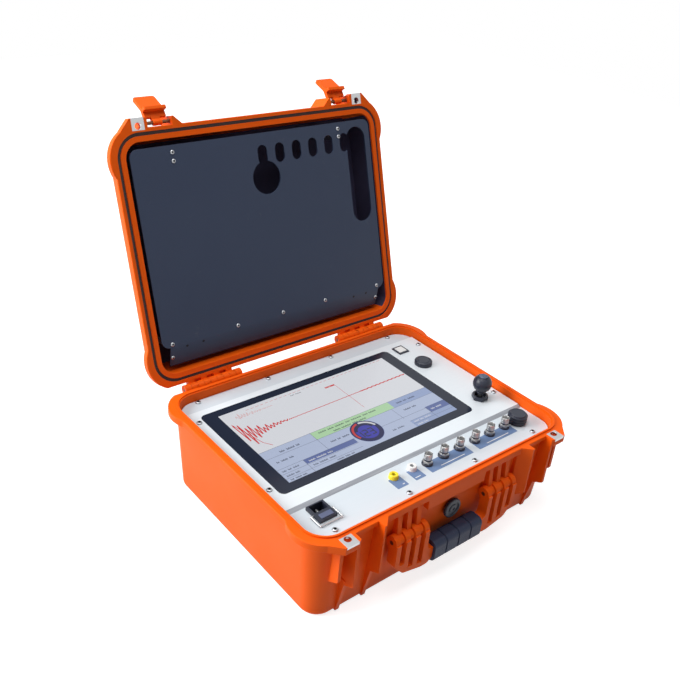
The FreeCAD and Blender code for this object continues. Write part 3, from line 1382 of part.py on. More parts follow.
def build_round_connector():
    spot = ("round_x", "round_y")
    base_top = f"{PANEL_TOP} + round_base_height"
    base = rod("round_base", "z", "round_base_radius", (PANEL_TOP, base_top), spot)
    barrel = rod("round_barrel", "z", "round_barrel_radius",
                 (f"{PANEL_FOOT} - round_tail", f"{PANEL_TOP} + round_barrel_height"), spot)
    bore = rod("round_bore", "z", "round_barrel_radius - round_cap_wall",
               (base_top, f"{PANEL_TOP} + round_barrel_height"), spot)
    node("round_connector", cut("round_whole", fuse("round_solid", base, barrel), bore))

    foot = base_top
    top = f"{foot} + round_cap_height"
    skirt = rod("round_cap_skirt", "z", "round_cap_radius", (foot, f"{top} - round_cap_rib"), spot)
    crown = taper("round_cap_crown", "round_cap_radius", "round_cap_radius - round_cap_rib",
                  (f"{top} - round_cap_rib", top), spot)
    ribs = [rod(f"round_cap_rib_{i}", "z", "round_cap_radius + round_cap_rib",
                (f"{foot} + {i} * round_cap_height / 3", f"{foot} + {i} * round_cap_height / 3 + 2 * round_cap_rib"),
                spot) for i in range(3)]
    tabs = [box(f"round_tab_{word}", (f"round_x + {low}", f"round_x + {high}"),
                ("round_y - round_tab / 2", "round_y + round_tab / 2"), (foot, f"{foot} + round_tab"))
            for word, low, high in (("right", "0", "round_cap_radius + round_tab / 2"),
                                    ("left", "-(round_cap_radius + round_tab)", "0"))]
    eye = rod("round_tab_eye", "z", "round_tab / 4", (foot, f"{foot} + round_tab"),
              ("round_x - round_cap_radius - round_tab / 2", "round_y"))
    room = rod("round_cap_room", "z", "round_barrel_radius + seat_gap", (foot, f"{top} - round_cap_wall"), spot)
    cap = fuse("round_cap_solid", skirt, crown, *ribs, *tabs)
    node("round_cap", cut("round_cap_whole", cap, room, eye))


# Insert plate inside the lid, with openings that clear the controls when the lid is shut

INSERT_LOW = f"{LID_FACE} + insert_lift"
INSERT_HIGH = f"{LID_FACE} + insert_lift + insert_thickness"


def insert_post_spots():
    spots = [(f"{side} * post_front_x", y) for side in (1, -1)
             for y in ("-post_row_front", "-(post_row_front + post_row_gap)")]
    spots += [(f"{side} * {x}", "post_row_back") for side in (1, -1) for x in ("post_outer_x", "post_inner_x")]
    return spots + [("0", "post_row_back")]


def build_insert():
    body = new_body("insert_blank")
    outline = new_sketch(body, "insert_outline", "XY", INSERT_LOW)
    rounded_rect(outline, "2 * insert_half_width", "insert_front + insert_bend", "insert_radius",
                 "0", "(insert_bend - insert_front) / 2")
    pad(body, outline, "insert_thickness")
    slots = new_sketch(body, "insert_slots", "XY", INSERT_HIGH)
    reach = "slot_length / 2 - slot_radius"
    for index in range(6):
        obround(slots, coax_x(index), (f"coax_y - ({reach})", f"coax_y + {reach}"), "slot_radius")
    pocket(body, slots, "insert_thickness")
    bay = new_sketch(body, "insert_bay", "XY", INSERT_HIGH)
    obround(bay, "bay_x", ("round_y - bay_under", "stick_y + bay_over"), "bay_radius")
    disc(bay, "keyhole_x", "keyhole_y", "keyhole_radius")
    pocket(body, bay, "insert_thickness")
    bend = "insert_bend - insert_radius"
    fold = [
        (bend, INSERT_LOW),
        ("insert_bend", INSERT_LOW),
        ("insert_back", f"{INSERT_LOW} + insert_fold"),
        ("insert_back", f"{INSERT_HIGH} + insert_fold"),
        ("insert_bend", INSERT_HIGH),
        (bend, INSERT_HIGH),
    ]
    strip = prism("insert_strip", "YZ", fold, ("-insert_half_width + insert_radius", "insert_half_width - insert_radius"))
    node("lid_insert", fuse("insert_whole", body, strip), LID_OPEN)

    roof = f"{LID_FACE} + lid_height - lid_wall"
    posts = [rod(f"insert_post_{i}", "z", "post_radius", (INSERT_HIGH, roof), spot)
             for i, spot in enumerate(insert_post_spots())]
    node("insert_posts", group("insert_post_set", *posts), LID_OPEN)
    sheet_z = (f"{roof} - lining_thickness", roof)
    lining = rim_slab("lining_sheet", "lid_top_inset + lid_wall + lining_gap", sheet_z)
    eyelets = [rod(f"lining_hole_{i}", "z", "post_radius + fit_gap", sheet_z, spot)
               for i, spot in enumerate(insert_post_spots())]
    node("lid_lining", cut("lining_whole", lining, *eyelets), LID_OPEN)
    heads = [taper(f"insert_screw_{i}", "insert_screw_radius * 0.7", "insert_screw_radius",
                   (f"{INSERT_LOW} - insert_screw_height", INSERT_LOW), spot)
             for i, spot in enumerate(insert_post_spots())]
    node("insert_screws", group("insert_screw_set", *heads), LID_OPEN)


# Inside the base: tray on the floor with supply and battery, boards hung from the panel

def build_inside():
    tray_top = "wall + tray_thickness"
    half_x, half_y = "tray_width / 2", "tray_depth / 2"
    node("chassis_tray", box("tray", (f"-({half_x})", half_x), (f"-({half_y})", half_y), ("wall", tray_top)))

    def standing(name, middle, width, depth, height):
        return box(name, (f"{middle} - {width} / 2", f"{middle} + {width} / 2"),
                   (f"-{depth} / 2", f"{depth} / 2"), (tray_top, f"{tray_top} + {height}"))

    node("power_supply", standing("supply", "-bay_spacing / 2", "supply_width", "supply_depth", "supply_height"))
    node("battery_pack", standing("battery", "bay_spacing / 2", "battery_width", "battery_depth", "battery_height"))
    strap_x = ("bay_spacing / 2 - strap_width / 2", "bay_spacing / 2 + strap_width / 2")
    strap_y = "battery_depth / 2 + strap_thickness"
    over = box("strap_over", strap_x, (f"-({strap_y})", strap_y),
               (tray_top, f"{tray_top} + battery_height + strap_thickness"))
    under = box("strap_under", strap_x, ("-battery_depth / 2", "battery_depth / 2"),
                (tray_top, f"{tray_top} + battery_height"))
    node("battery_strap", cut("strap_whole", over, under))

    board_top = f"{PANEL_FOOT} - module_thickness - board_drop"
    board_x = ("display_x - board_width / 2", "display_x + board_width / 2")
    board_y = ("display_y - board_depth / 2", "display_y + board_depth / 2")
    node("main_board", box("board", board_x, board_y, (f"{board_top} - board_thickness", board_top)))
    posts = []
    for side in (1, -1):
        for end in (1, -1):
            spot = (f"display_x + {side} * (board_width / 2 - 3 * standoff_radius)",
                    f"display_y + {end} * (board_depth / 2 - 3 * standoff_radius)")
            posts.append(rod(f"standoff_{len(posts)}", "z", "standoff_radius",
                             (board_top, f"{PANEL_FOOT} - module_thickness"), spot))
    node("board_standoffs", group("standoff_set", *posts))
    tail = f"{PANEL_FOOT} - coax_tail"
    node("pulse_board", box("pulse", ("coax_first_x - pulse_board_margin",
                                      "coax_first_x + 5 * coax_pitch + pulse_board_margin"),
                            ("coax_y - pulse_board_depth / 2", "coax_y + pulse_board_depth / 2"),
                            (f"{tail} - board_thickness", tail)))


build_base_shell()
build_lid_shell()
build_case_hardware()
for side, word in ((1, "right"), (-1, "left")):
    build_latch(side, word)
build_handle()
build_valve()
build_panel()
build_display()
build_power_button()
build_data_socket()
build_joystick()
build_coax_sockets()
build_test_sockets()
build_inlet()
build_round_connector()
build_insert()
build_inside()

doc.removeObject("probe")
doc.recompute()
for item, placement in nodes.values():
    if placement:
        item.Placement = placement
doc.recompute()

faults = [item.Label for item in doc.Objects if {"Invalid", "Error"} & set(item.State)]
faults += [name for name, (item, _) in nodes.items() if item.Shape.isNull() or not item.Shape.isValid()]
if faults:
    raise RuntimeError(f"these objects failed: {faults}")

os.makedirs("parts", exist_ok=True)
for name, (item, _) in nodes.items():
    item.Shape.exportStep(f"parts/{name}.step")
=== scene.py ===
from math import atan2, cos, pi, radians, sin

import bmesh
import bpy
from mathutils import Matrix, Vector


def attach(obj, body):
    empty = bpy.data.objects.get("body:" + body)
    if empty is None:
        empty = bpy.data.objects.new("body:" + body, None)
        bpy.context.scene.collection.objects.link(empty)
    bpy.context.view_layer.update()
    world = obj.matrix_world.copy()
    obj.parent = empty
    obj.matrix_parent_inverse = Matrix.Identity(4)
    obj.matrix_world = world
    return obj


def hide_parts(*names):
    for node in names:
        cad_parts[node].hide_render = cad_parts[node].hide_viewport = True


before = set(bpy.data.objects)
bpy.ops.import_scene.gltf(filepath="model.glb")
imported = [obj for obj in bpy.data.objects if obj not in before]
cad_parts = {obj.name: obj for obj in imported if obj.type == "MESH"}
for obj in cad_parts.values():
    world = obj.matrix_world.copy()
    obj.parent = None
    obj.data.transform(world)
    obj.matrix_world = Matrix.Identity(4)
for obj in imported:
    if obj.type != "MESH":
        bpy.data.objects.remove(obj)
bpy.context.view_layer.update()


# The studio. A pale floor meets a pale surround, a large soft lamp stands at the case's left,
# a second one hangs overhead, and the camera looks down on the open case from its front left.

scene = bpy.context.scene
scene.view_settings.view_transform = "Standard"


def seen_directly(tree):
    """A socket that is one to the eye, through a pane and in a mirror, and nought for the light it sheds."""
    ray = tree.nodes.new("ShaderNodeLightPath")
    seen = tree.nodes.new("ShaderNodeMath")
    seen.operation = "ADD"
    tree.links.new(ray.outputs["Is Camera Ray"], seen.inputs[0])
    tree.links.new(ray.outputs["Is Glossy Ray"], seen.inputs[1])
    shown = tree.nodes.new("ShaderNodeMath")
    shown.operation = "ADD"
    shown.use_clamp = True
    tree.links.new(seen.outputs[0], shown.inputs[0])
    tree.links.new(ray.outputs["Is Transmission Ray"], shown.inputs[1])
    return shown.outputs[0]


surround = bpy.data.worlds.new("studio_surround")
scene.world = surround
surround.use_nodes = True
sky = surround.node_tree
level = sky.nodes.new("ShaderNodeMapRange")
level.inputs["To Min"].default_value = 0.13
level.inputs["To Max"].default_value = 1.0
sky.links.new(seen_directly(sky), level.inputs["Value"])
backlight = sky.nodes["Background"]
backlight.inputs["Color"].default_value = (1.0, 1.0, 1.0, 1.0)
sky.links.new(level.outputs["Result"], backlight.inputs["Strength"])


def soft_lamp(name, place, aim, width, power):
    """A square soft lamp turned towards a point."""
    data = bpy.data.lights.new(name, "AREA")
    data.size = width
    data.energy = power
    lamp = bpy.data.objects.new(name, data)
    lamp.location = place
    lamp.rotation_euler = (Vector(aim) - Vector(place)).to_track_quat("-Z", "Y").to_euler()
    scene.collection.objects.link(lamp)


soft_lamp("left_lamp", place=(-1.80, 1.00, 1.15), aim=(0.0, 0.0, 0.12), width=1.3, power=62.0)
soft_lamp("top_lamp", place=(-0.25, 0.05, 2.3), aim=(0.0, 0.0, 0.1), width=1.6, power=38.0)

FLOOR_REACH = 2.4
FLOOR_DROP = 0.0004
floor_mesh = bmesh.new()
bmesh.ops.create_grid(floor_mesh, x_segments=1, y_segments=1, size=FLOOR_REACH)
bmesh.ops.translate(floor_mesh, verts=floor_mesh.verts, vec=(0.0, 0.0, -FLOOR_DROP))
floor_data = bpy.data.meshes.new("studio_floor")
floor_mesh.to_mesh(floor_data)
floor_mesh.free()
floor = bpy.data.objects.new("studio_floor", floor_data)
scene.collection.objects.link(floor)
floor_paint = bpy.data.materials.new("studio_paint")
floor_paint.use_nodes = True
paint = floor_paint.node_tree
floor_shader = paint.nodes["Principled BSDF"]
floor_shader.inputs["Base Color"].default_value = (0.50, 0.50, 0.50, 1.0)
floor_shader.inputs["Roughness"].default_value = 0.9
floor_shader.inputs["Emission Color"].default_value = (1.0, 1.0, 1.0, 1.0)
floor_place = paint.nodes.new("ShaderNodeTexCoord")
away = paint.nodes.new("ShaderNodeVectorMath")
away.operation = "LENGTH"
paint.links.new(floor_place.outputs["Object"], away.inputs[0])
fade = paint.nodes.new("ShaderNodeMapRange")
fade.inputs["From Min"].default_value = 0.6
fade.inputs["From Max"].default_value = 1.8
fade.inputs["To Min"].default_value = 0.82
fade.inputs["To Max"].default_value = 1.0
paint.links.new(away.outputs["Value"], fade.inputs["Value"])
lift = paint.nodes.new("ShaderNodeMath")
lift.operation = "MULTIPLY"
paint.links.new(seen_directly(paint), lift.inputs[0])
paint.links.new(fade.outputs["Result"], lift.inputs[1])
paint.links.new(lift.outputs[0], floor_shader.inputs["Emission Strength"])
floor_data.materials.append(floor_paint)

lens = bpy.data.cameras.new("photo_camera")
lens.lens = 44.2
lens.sensor_width = 36.0
lens.clip_start = 0.01
camera = bpy.data.objects.new("photo_camera", lens)
camera.location = (-0.58104, -0.58885, 0.68084)
camera.rotation_euler = (radians(60.2325), radians(-4.7709), radians(-38.9594))
scene.collection.objects.link(camera)
scene.camera = camera


# The case. Base and lid are thick polypropylene mouldings with a fine spark-eroded grain.
# Every outer edge of the moulding is slightly round, as the tool leaves it.

MM = 0.001


def effect(name, inputs, outputs):
    """An empty shader group with named sockets, and its two end nodes."""
    tree = bpy.data.node_groups.new(name, "ShaderNodeTree")
    for label, kind, value in inputs:
        socket = tree.interface.new_socket(label, in_out="INPUT", socket_type=kind)
        socket.default_value = value
    for label, kind in outputs:
        tree.interface.new_socket(label, in_out="OUTPUT", socket_type=kind)
    return tree, tree.nodes.new("NodeGroupInput"), tree.nodes.new("NodeGroupOutput")


COLOUR, VALUE = "NodeSocketColor", "NodeSocketFloat"

moulded, given, result = effect(
    "moulded_surface",
    [("Colour", COLOUR, (0.5, 0.5, 0.5, 1)), ("Deep", COLOUR, (0.4, 0.4, 0.4, 1)),
     ("Grain", VALUE, 900.0), ("Gloss", VALUE, 0.45), ("Scuff", VALUE, 0.1)],
    [("Colour", COLOUR), ("Roughness", VALUE), ("Height", VALUE)])
where = moulded.nodes.new("ShaderNodeTexCoord")
grain = moulded.nodes.new("ShaderNodeTexNoise")
grain.inputs["Detail"].default_value = 3.0
moulded.links.new(where.outputs["Object"], grain.inputs["Vector"])
moulded.links.new(given.outputs["Grain"], grain.inputs["Scale"])
cloud = moulded.nodes.new("ShaderNodeTexNoise")
cloud.inputs["Scale"].default_value = 11.0
cloud.inputs["Detail"].default_value = 4.0
moulded.links.new(where.outputs["Object"], cloud.inputs["Vector"])
rubs = moulded.nodes.new("ShaderNodeTexNoise")
rubs.inputs["Scale"].default_value = 55.0
rubs.inputs["Detail"].default_value = 6.0
rubs.inputs["Roughness"].default_value = 0.75
rubs.inputs["Distortion"].default_value = 1.6
moulded.links.new(where.outputs["Object"], rubs.inputs["Vector"])
rub_mask = moulded.nodes.new("ShaderNodeMapRange")
rub_mask.inputs["From Min"].default_value = 0.62
rub_mask.inputs["From Max"].default_value = 0.80
moulded.links.new(rubs.outputs["Fac"], rub_mask.inputs["Value"])
rub_share = moulded.nodes.new("ShaderNodeMath")
rub_share.operation = "MULTIPLY"
moulded.links.new(rub_mask.outputs["Result"], rub_share.inputs[0])
moulded.links.new(given.outputs["Scuff"], rub_share.inputs[1])
mottle = moulded.nodes.new("ShaderNodeMix")
mottle.data_type = "RGBA"
moulded.links.new(cloud.outputs["Fac"], mottle.inputs["Factor"])
moulded.links.new(given.outputs["Colour"], mottle.inputs["A"])
moulded.links.new(given.outputs["Deep"], mottle.inputs["B"])
worn = moulded.nodes.new("ShaderNodeMix")
worn.data_type = "RGBA"
worn.inputs["B"].default_value = (0.85, 0.82, 0.78, 1.0)
moulded.links.new(rub_share.outputs[0], worn.inputs["Factor"])
moulded.links.new(mottle.outputs["Result"], worn.inputs["A"])
moulded.links.new(worn.outputs["Result"], result.inputs["Colour"])
dull = moulded.nodes.new("ShaderNodeMath")
dull.operation = "MULTIPLY_ADD"
dull.inputs[1].default_value = 0.16
moulded.links.new(cloud.outputs["Fac"], dull.inputs[0])
moulded.links.new(given.outputs["Gloss"], dull.inputs[2])
matt = moulded.nodes.new("ShaderNodeMath")
matt.operation = "ADD"
moulded.links.new(dull.outputs[0], matt.inputs[0])
moulded.links.new(rub_share.outputs[0], matt.inputs[1])
moulded.links.new(matt.outputs[0], result.inputs["Roughness"])
moulded.links.new(grain.outputs["Fac"], result.inputs["Height"])


def finish(name, group, values, relief=0.25, depth=0.0002, **plain):
    """A material whose colour, roughness and relief come from one shared effect."""
    material = bpy.data.materials.new(name)
    material.use_nodes = True
    tree = material.node_tree
    shader = tree.nodes["Principled BSDF"]
    look = tree.nodes.new("ShaderNodeGroup")
    look.node_tree = group
    for label, value in values.items():
        look.inputs[label].default_value = (*value, 1.0) if isinstance(value, tuple) else value
    tree.links.new(look.outputs["Colour"], shader.inputs["Base Color"])
    tree.links.new(look.outputs["Roughness"], shader.inputs["Roughness"])
    bump = tree.nodes.new("ShaderNodeBump")
    bump.inputs["Strength"].default_value = relief
    bump.inputs["Distance"].default_value = depth
    tree.links.new(look.outputs["Height"], bump.inputs["Height"])
    tree.links.new(bump.outputs["Normal"], shader.inputs["Normal"])
    for label, value in plain.items():
        shader.inputs[label.replace("_", " ")].default_value = value
    return material


CREASE = radians(35.0)


def piece(name, shape, materials, body, slot, *stands_for):
    """Turn a finished bmesh into an object that rides on a body; its faces number its materials."""
    mesh = bpy.data.meshes.new(name)
    shape.to_mesh(mesh)
    shape.free()
    for material in materials if isinstance(materials, tuple) else (materials,):
        mesh.materials.append(material)
    mesh.polygons.foreach_set("use_smooth", [True] * len(mesh.polygons))
    mesh.set_sharp_from_angle(angle=CREASE)
    item = bpy.data.objects.new(name, mesh)
    scene.collection.objects.link(item)
    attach(item, body)
    if stands_for:
        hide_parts(*stands_for)
    return item


MERGE = 2e-6
FLAT = radians(1.0)
BEND = radians(28.0)


def softened(name, node, radius, material, body, slot):
    """A moulded piece with round edges, made from its plain solid."""
    shape = bmesh.new()
    shape.from_mesh(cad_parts[node].data)
    bmesh.ops.remove_doubles(shape, verts=shape.verts, dist=MERGE)
    bmesh.ops.dissolve_limit(shape, angle_limit=FLAT, verts=shape.verts, edges=shape.edges)
    corners = [edge for edge in shape.edges if len(edge.link_faces) == 2 and edge.calc_face_angle() > BEND]
    bmesh.ops.bevel(shape, geom=corners, offset=radius, offset_type="OFFSET", segments=2, profile=0.5,
                    affect="EDGES", clamp_overlap=True, material=-1)
    item = piece(name, shape, material, body, slot, node)
    even = item.modifiers.new("even_faces", "WEIGHTED_NORMAL")
    even.keep_sharp = True
    return item


orange = finish("orange_moulding", moulded, {
    "Colour": (0.90, 0.118, 0.004), "Deep": (0.84, 0.100, 0.003),
    "Grain": 1500.0, "Gloss": 0.40, "Scuff": 0.04}, relief=0.12, Specular_IOR_Level=0.14)
softened("case_base", "base_shell", 0.8 * MM, orange, "base", "case_orange")
case_lid = softened("case_lid", "lid_shell", 0.8 * MM, orange, "lid", "case_orange")


# Soft black parts: the lid's seal is a foam rubber cord laid in its groove, and the grip is a rubber sleeve
# in four swellings slipped over the handle's bar. The dark sheet on the lid's roof and the dark patch on its
# right wall are painted shade, so the view through the insert's slots looks dark.

def dress(material, *names):
    """Give plain solids of the frame their finished surface."""
    for name in names:
        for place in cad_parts[name].material_slots:
            place.material = material


seal_rubber = finish("seal_rubber", moulded, {
    "Colour": (0.020, 0.014, 0.013), "Deep": (0.030, 0.020, 0.018),
    "Grain": 2600.0, "Gloss": 0.62, "Scuff": 0.03}, relief=0.4, depth=0.0003)
grip_rubber = finish("grip_rubber", moulded, {
    "Colour": (0.022, 0.031, 0.066), "Deep": (0.018, 0.025, 0.054),
    "Grain": 1900.0, "Gloss": 0.46, "Scuff": 0.05}, relief=0.5, depth=0.0004, Specular_IOR_Level=0.28)
painted_shade_lining = finish("painted_shade_lining", moulded, {
    "Colour": (0.040, 0.038, 0.080), "Deep": (0.048, 0.045, 0.094),
    "Grain": 1800.0, "Gloss": 0.66, "Scuff": 0.03}, relief=0.5, depth=0.0004, Specular_IOR_Level=0.25)
dress(seal_rubber, "lid_gasket")
dress(painted_shade_lining, "lid_lining")
HINGE_LINE = (0, 158.5, 112.7)
OPEN_ANGLE = radians(-107.4)
hinge = Matrix.Translation(HINGE_LINE)
lid_open = hinge @ Matrix.Rotation(OPEN_ANGLE, 4, "X") @ hinge.inverted()
lid_turn = lid_open.to_3x3()
# The lid's right inner wall behind the insert takes the dark sheet's finish: painted shade for the view
# through the long slot.
SHADED_FROM = 119.0
WALL_NEAR, WALL_FAR = 160, 183
case_lid.data.materials.append(painted_shade_lining)
lid_inside = bmesh.new()
lid_inside.from_mesh(case_lid.data)
bmesh.ops.bisect_plane(
    lid_inside, geom=lid_inside.verts[:] + lid_inside.edges[:] + lid_inside.faces[:], dist=1e-6,
    plane_co=lid_open @ Vector((0, 0, SHADED_FROM)) * MM, plane_no=lid_turn @ Vector((0, 0, 1)))
bmesh.ops.remove_doubles(lid_inside, verts=lid_inside.verts, dist=MERGE)
for face in lid_inside.faces:
    spot = lid_open.inverted() @ (face.calc_center_median() / MM)
    facing = lid_turn.inverted() @ face.normal
    if spot.z > SHADED_FROM and WALL_NEAR < spot.x < WALL_FAR and facing.x < -0.5:
        face.material_index = 1
lid_inside.to_mesh(case_lid.data)
lid_inside.free()
softened("handle_sleeve", "handle_grip", 1.6 * MM, grip_rubber, "handle", "grip_rubber")


# The handle is moulded from the same orange polypropylene, with slotted ends that straddle the case's ribs.
# Each latch is a single moulding on a steel pin, with a hook and a flared finger tab.

softened("handle_arms", "carry_handle", 1.1 * MM, orange, "handle", "case_orange")
for side in ("left", "right"):
    softened(f"case_latch_{side}", f"latch_body_{side}", 0.7 * MM, orange, f"latch_{side}", "case_orange")


# Steel hardware: the hinge, handle and latch pins are browned rods pressed into the mouldings,
# and the padlock holes are faced with stamped bright plates set flush in the lugs.

brushed, given, result = effect(
    "brushed_metal",
    [("Colour", COLOUR, (0.6, 0.6, 0.6, 1)), ("Along", VALUE, 18.0), ("Across", VALUE, 1600.0),
     ("Gloss", VALUE, 0.3), ("Contrast", VALUE, 0.12)],
    [("Colour", COLOUR), ("Roughness", VALUE), ("Height", VALUE)])
where = brushed.nodes.new("ShaderNodeTexCoord")
pull = brushed.nodes.new("ShaderNodeCombineXYZ")
brushed.links.new(given.outputs["Along"], pull.inputs["X"])
brushed.links.new(given.outputs["Across"], pull.inputs["Y"])
brushed.links.new(given.outputs["Across"], pull.inputs["Z"])
drawn = brushed.nodes.new("ShaderNodeVectorMath")
drawn.operation = "MULTIPLY"
brushed.links.new(where.outputs["Object"], drawn.inputs[0])
brushed.links.new(pull.outputs["Vector"], drawn.inputs[1])
lines = brushed.nodes.new("ShaderNodeTexNoise")
lines.inputs["Scale"].default_value = 1.0
lines.inputs["Detail"].default_value = 4.0
brushed.links.new(drawn.outputs["Vector"], lines.inputs["Vector"])
prints = brushed.nodes.new("ShaderNodeTexNoise")
prints.inputs["Scale"].default_value = 26.0
prints.inputs["Detail"].default_value = 5.0
brushed.links.new(where.outputs["Object"], prints.inputs["Vector"])
shade = brushed.nodes.new("ShaderNodeMath")
shade.operation = "MULTIPLY"
brushed.links.new(lines.outputs["Fac"], shade.inputs[0])
brushed.links.new(given.outputs["Contrast"], shade.inputs[1])
tone = brushed.nodes.new("ShaderNodeMix")
tone.data_type = "RGBA"
tone.inputs["B"].default_value = (0.12, 0.12, 0.13, 1.0)
brushed.links.new(shade.outputs[0], tone.inputs["Factor"])
brushed.links.new(given.outputs["Colour"], tone.inputs["A"])
brushed.links.new(tone.outputs["Result"], result.inputs["Colour"])
smear = brushed.nodes.new("ShaderNodeMath")
smear.operation = "MULTIPLY_ADD"
smear.inputs[1].default_value = 0.22
brushed.links.new(prints.outputs["Fac"], smear.inputs[0])
brushed.links.new(given.outputs["Gloss"], smear.inputs[2])
brushed.links.new(smear.outputs[0], result.inputs["Roughness"])
brushed.links.new(lines.outputs["Fac"], result.inputs["Height"])

steel = finish("satin_steel", brushed, {
    "Colour": (0.56, 0.57, 0.58), "Gloss": 0.18}, relief=0.15, Metallic=1.0)
dark_pin = finish("dark_pin_steel", brushed, {
    "Colour": (0.14, 0.06, 0.03), "Gloss": 0.34}, relief=0.15, Metallic=1.0)
dress(dark_pin, "hinge_pins", "handle_pins", "latch_pins")
softened("base_padlock_facings", "base_padlock_plates", 0.35 * MM, steel, "base", "steel")
softened("lid_padlock_facings", "lid_padlock_plates", 0.35 * MM, steel, "lid", "steel")


# The pressure valve is a black moulding screwed through the front wall from outside.
# Its face has a raised hub and finger notches round the edge.

black_plastic = finish("black_plastic", moulded, {
    "Colour": (0.019, 0.023, 0.040), "Deep": (0.015, 0.018, 0.032),
    "Grain": 1400.0, "Gloss": 0.30, "Scuff": 0.03}, relief=0.2, Specular_IOR_Level=0.4)
CLOSE = 1e-4
GRIP_START, GRIP_SHARE = 0.01, 0.2


def turned(shape, profile, spot, steps, lay=None, grips=0, bite=0.0, hollow=0.0):
    """Spin a profile of (radius, height) points, in millimetres, about an upright axis set on a spot.

    A point marked "six" is drawn in to a hexagon, and grips are pressed into the points marked "grip".
    Faces above the spot and inside the radius given as hollow take the piece's second finish.
    Two points on the axis leave a gap between them, so one profile can make an outside and an inside.
    """
    older = set(shape.verts)
    rise = [shape.verts.new((point[0], 0.0, point[1])) for point in profile]
    edges = [shape.edges.new(pair) for pair in zip(rise, rise[1:]) if pair[0].co.x + pair[1].co.x > 0]
    bmesh.ops.spin(shape, geom=rise + edges, cent=(0, 0, 0), axis=(0, 0, 1), angle=2 * pi, steps=steps,
                   use_merge=True)
    bmesh.ops.remove_doubles(shape, verts=[vert for vert in shape.verts if vert not in older], dist=CLOSE)
    fresh = [vert for vert in shape.verts if vert not in older]
    for radius, height, form in (point for point in profile if len(point) == 3):
        for vert in fresh:
            if abs(vert.co.z - height) < CLOSE and abs(vert.co.xy.length - radius) < CLOSE:
                turn = atan2(vert.co.y, vert.co.x)
                if form == "six":
                    vert.co.xy *= cos(pi / 6) / cos(turn % (pi / 3) - pi / 6)
                elif sin(turn * grips + GRIP_START) > GRIP_SHARE:
                    vert.co.xy *= 1 - bite / radius
    skin = [face for face in shape.faces if face.verts[0] not in older]
    bmesh.ops.recalc_face_normals(shape, faces=skin)
    for face in skin:
        middle = face.calc_center_median()
        face.material_index = int(middle.z > 0 and middle.xy.length < hollow)
    seat = Matrix.Scale(MM, 4) @ Matrix.Translation(spot) @ (lay or Matrix())
    bmesh.ops.transform(shape, matrix=seat, verts=fresh)


VALVE_SPOT = (0, -146.0, 75.0)
outwards = Matrix.Rotation(pi / 2, 4, "X")
valve = bmesh.new()
turned(valve, [(0, -14.5), (5.9, -14.5), (5.9, 0), (11.2, 0, "grip"), (12.0, 0.6, "grip"),
               (12.0, 3.2, "grip"), (11.4, 4.0, "grip"), (9.6, 4.4), (8.6, 4.4), (8.2, 3.2), (5.4, 3.2),
               (5.0, 4.2), (4.4, 4.5), (2.0, 4.5), (1.8, 3.6), (0, 3.6)],
       VALVE_SPOT, 72, outwards, grips=18, bite=0.7)
piece("valve_face", valve, black_plastic, "base", "black_plastic", "pressure_valve")


# The panel is a clear-anodised aluminium sheet on a frame inside the case, with the raised display plate
# bolted over it. Both are finely brushed from side to side.

silver = finish("panel_silver", brushed, {
    "Colour": (0.75, 0.80, 0.84), "Gloss": 0.34, "Contrast": 0.08}, relief=0.06, Metallic=0.10)
# The lower panel is the same aluminium, given a darker copy of the plate's silver as painted shade.
shaded_silver = finish("panel_silver_painted_shade", brushed, {
    "Colour": (0.62, 0.68, 0.73), "Gloss": 0.38, "Contrast": 0.08}, relief=0.06, Metallic=0.10)
dress(shaded_silver, "base_panel")
# The plate's edge faces, all that do not face straight up, take a streaked dark grey: painted shade on the
# step down to the panel.
shaded_edge = finish("plate_edge_painted_shade", brushed, {
    "Colour": (0.40, 0.43, 0.48), "Across": 420.0, "Gloss": 0.30, "Contrast": 0.75},
    relief=0.10, Metallic=0.25)
raised_plate = softened("raised_plate", "display_plate", 0.45 * MM, silver, "base", "panel_silver")
raised_plate.data.materials.append(shaded_edge)
UPWARDS = 0.97
for face in raised_plate.data.polygons:
    face.material_index = int(face.normal.z < UPWARDS)


# Button-head screws with hexagon sockets hold the panel, the plate and the lid insert.
# They are zinc-plated steel, and their sockets are painted dark: painted shade in the recess.

zinc = finish("zinc_plate", brushed, {
    "Colour": (0.40, 0.41, 0.43), "Along": 600.0, "Across": 600.0, "Gloss": 0.20}, relief=0.05, Metallic=1.0)
socket_shade = finish("socket_painted_shade", moulded, {
    "Colour": (0.008, 0.008, 0.009), "Deep": (0.005, 0.005, 0.006),
    "Grain": 2600.0, "Gloss": 0.55, "Scuff": 0.0}, Specular_IOR_Level=0.2)
PANEL_TOP, PLATE_TOP = 105.5, 108.0
KEY_HOLE = 1.75
HEAD = [(0, -11.5), (1.9, -11.5), (1.9, 0), (3.4, 0), (3.4, 0.5), (3.2, 1.1), (2.75, 1.7), (2.2, 2.0),
        (KEY_HOLE, 2.0, "six"), (1.7, 1.0, "six"), (0, 0.9)]
panel_heads = bmesh.new()
for x in (-153.0, -51.0, 51.0, 153.0):
    for y in (-128.0, 136.0):
        turned(panel_heads, HEAD, (x, y, PANEL_TOP), 24, hollow=KEY_HOLE)
piece("panel_screw_heads", panel_heads, (zinc, socket_shade), "base", "steel", "panel_screws")
plate_heads = bmesh.new()
for x in (-175.0, 175.0):
    for y in (-45.0, 96.0):
        turned(plate_heads, HEAD, (x, y, PLATE_TOP), 24, hollow=KEY_HOLE)
piece("plate_screw_heads", plate_heads, (zinc, socket_shade), "base", "steel", "plate_screws")


# The lid insert is a folded sheet with a slate powder coat, screwed to posts in the lid.
# Its slots clear the sockets and the joystick when the lid is shut, and its folded strip has four pin holes,
# drawn as thin dark discs of painted shade.

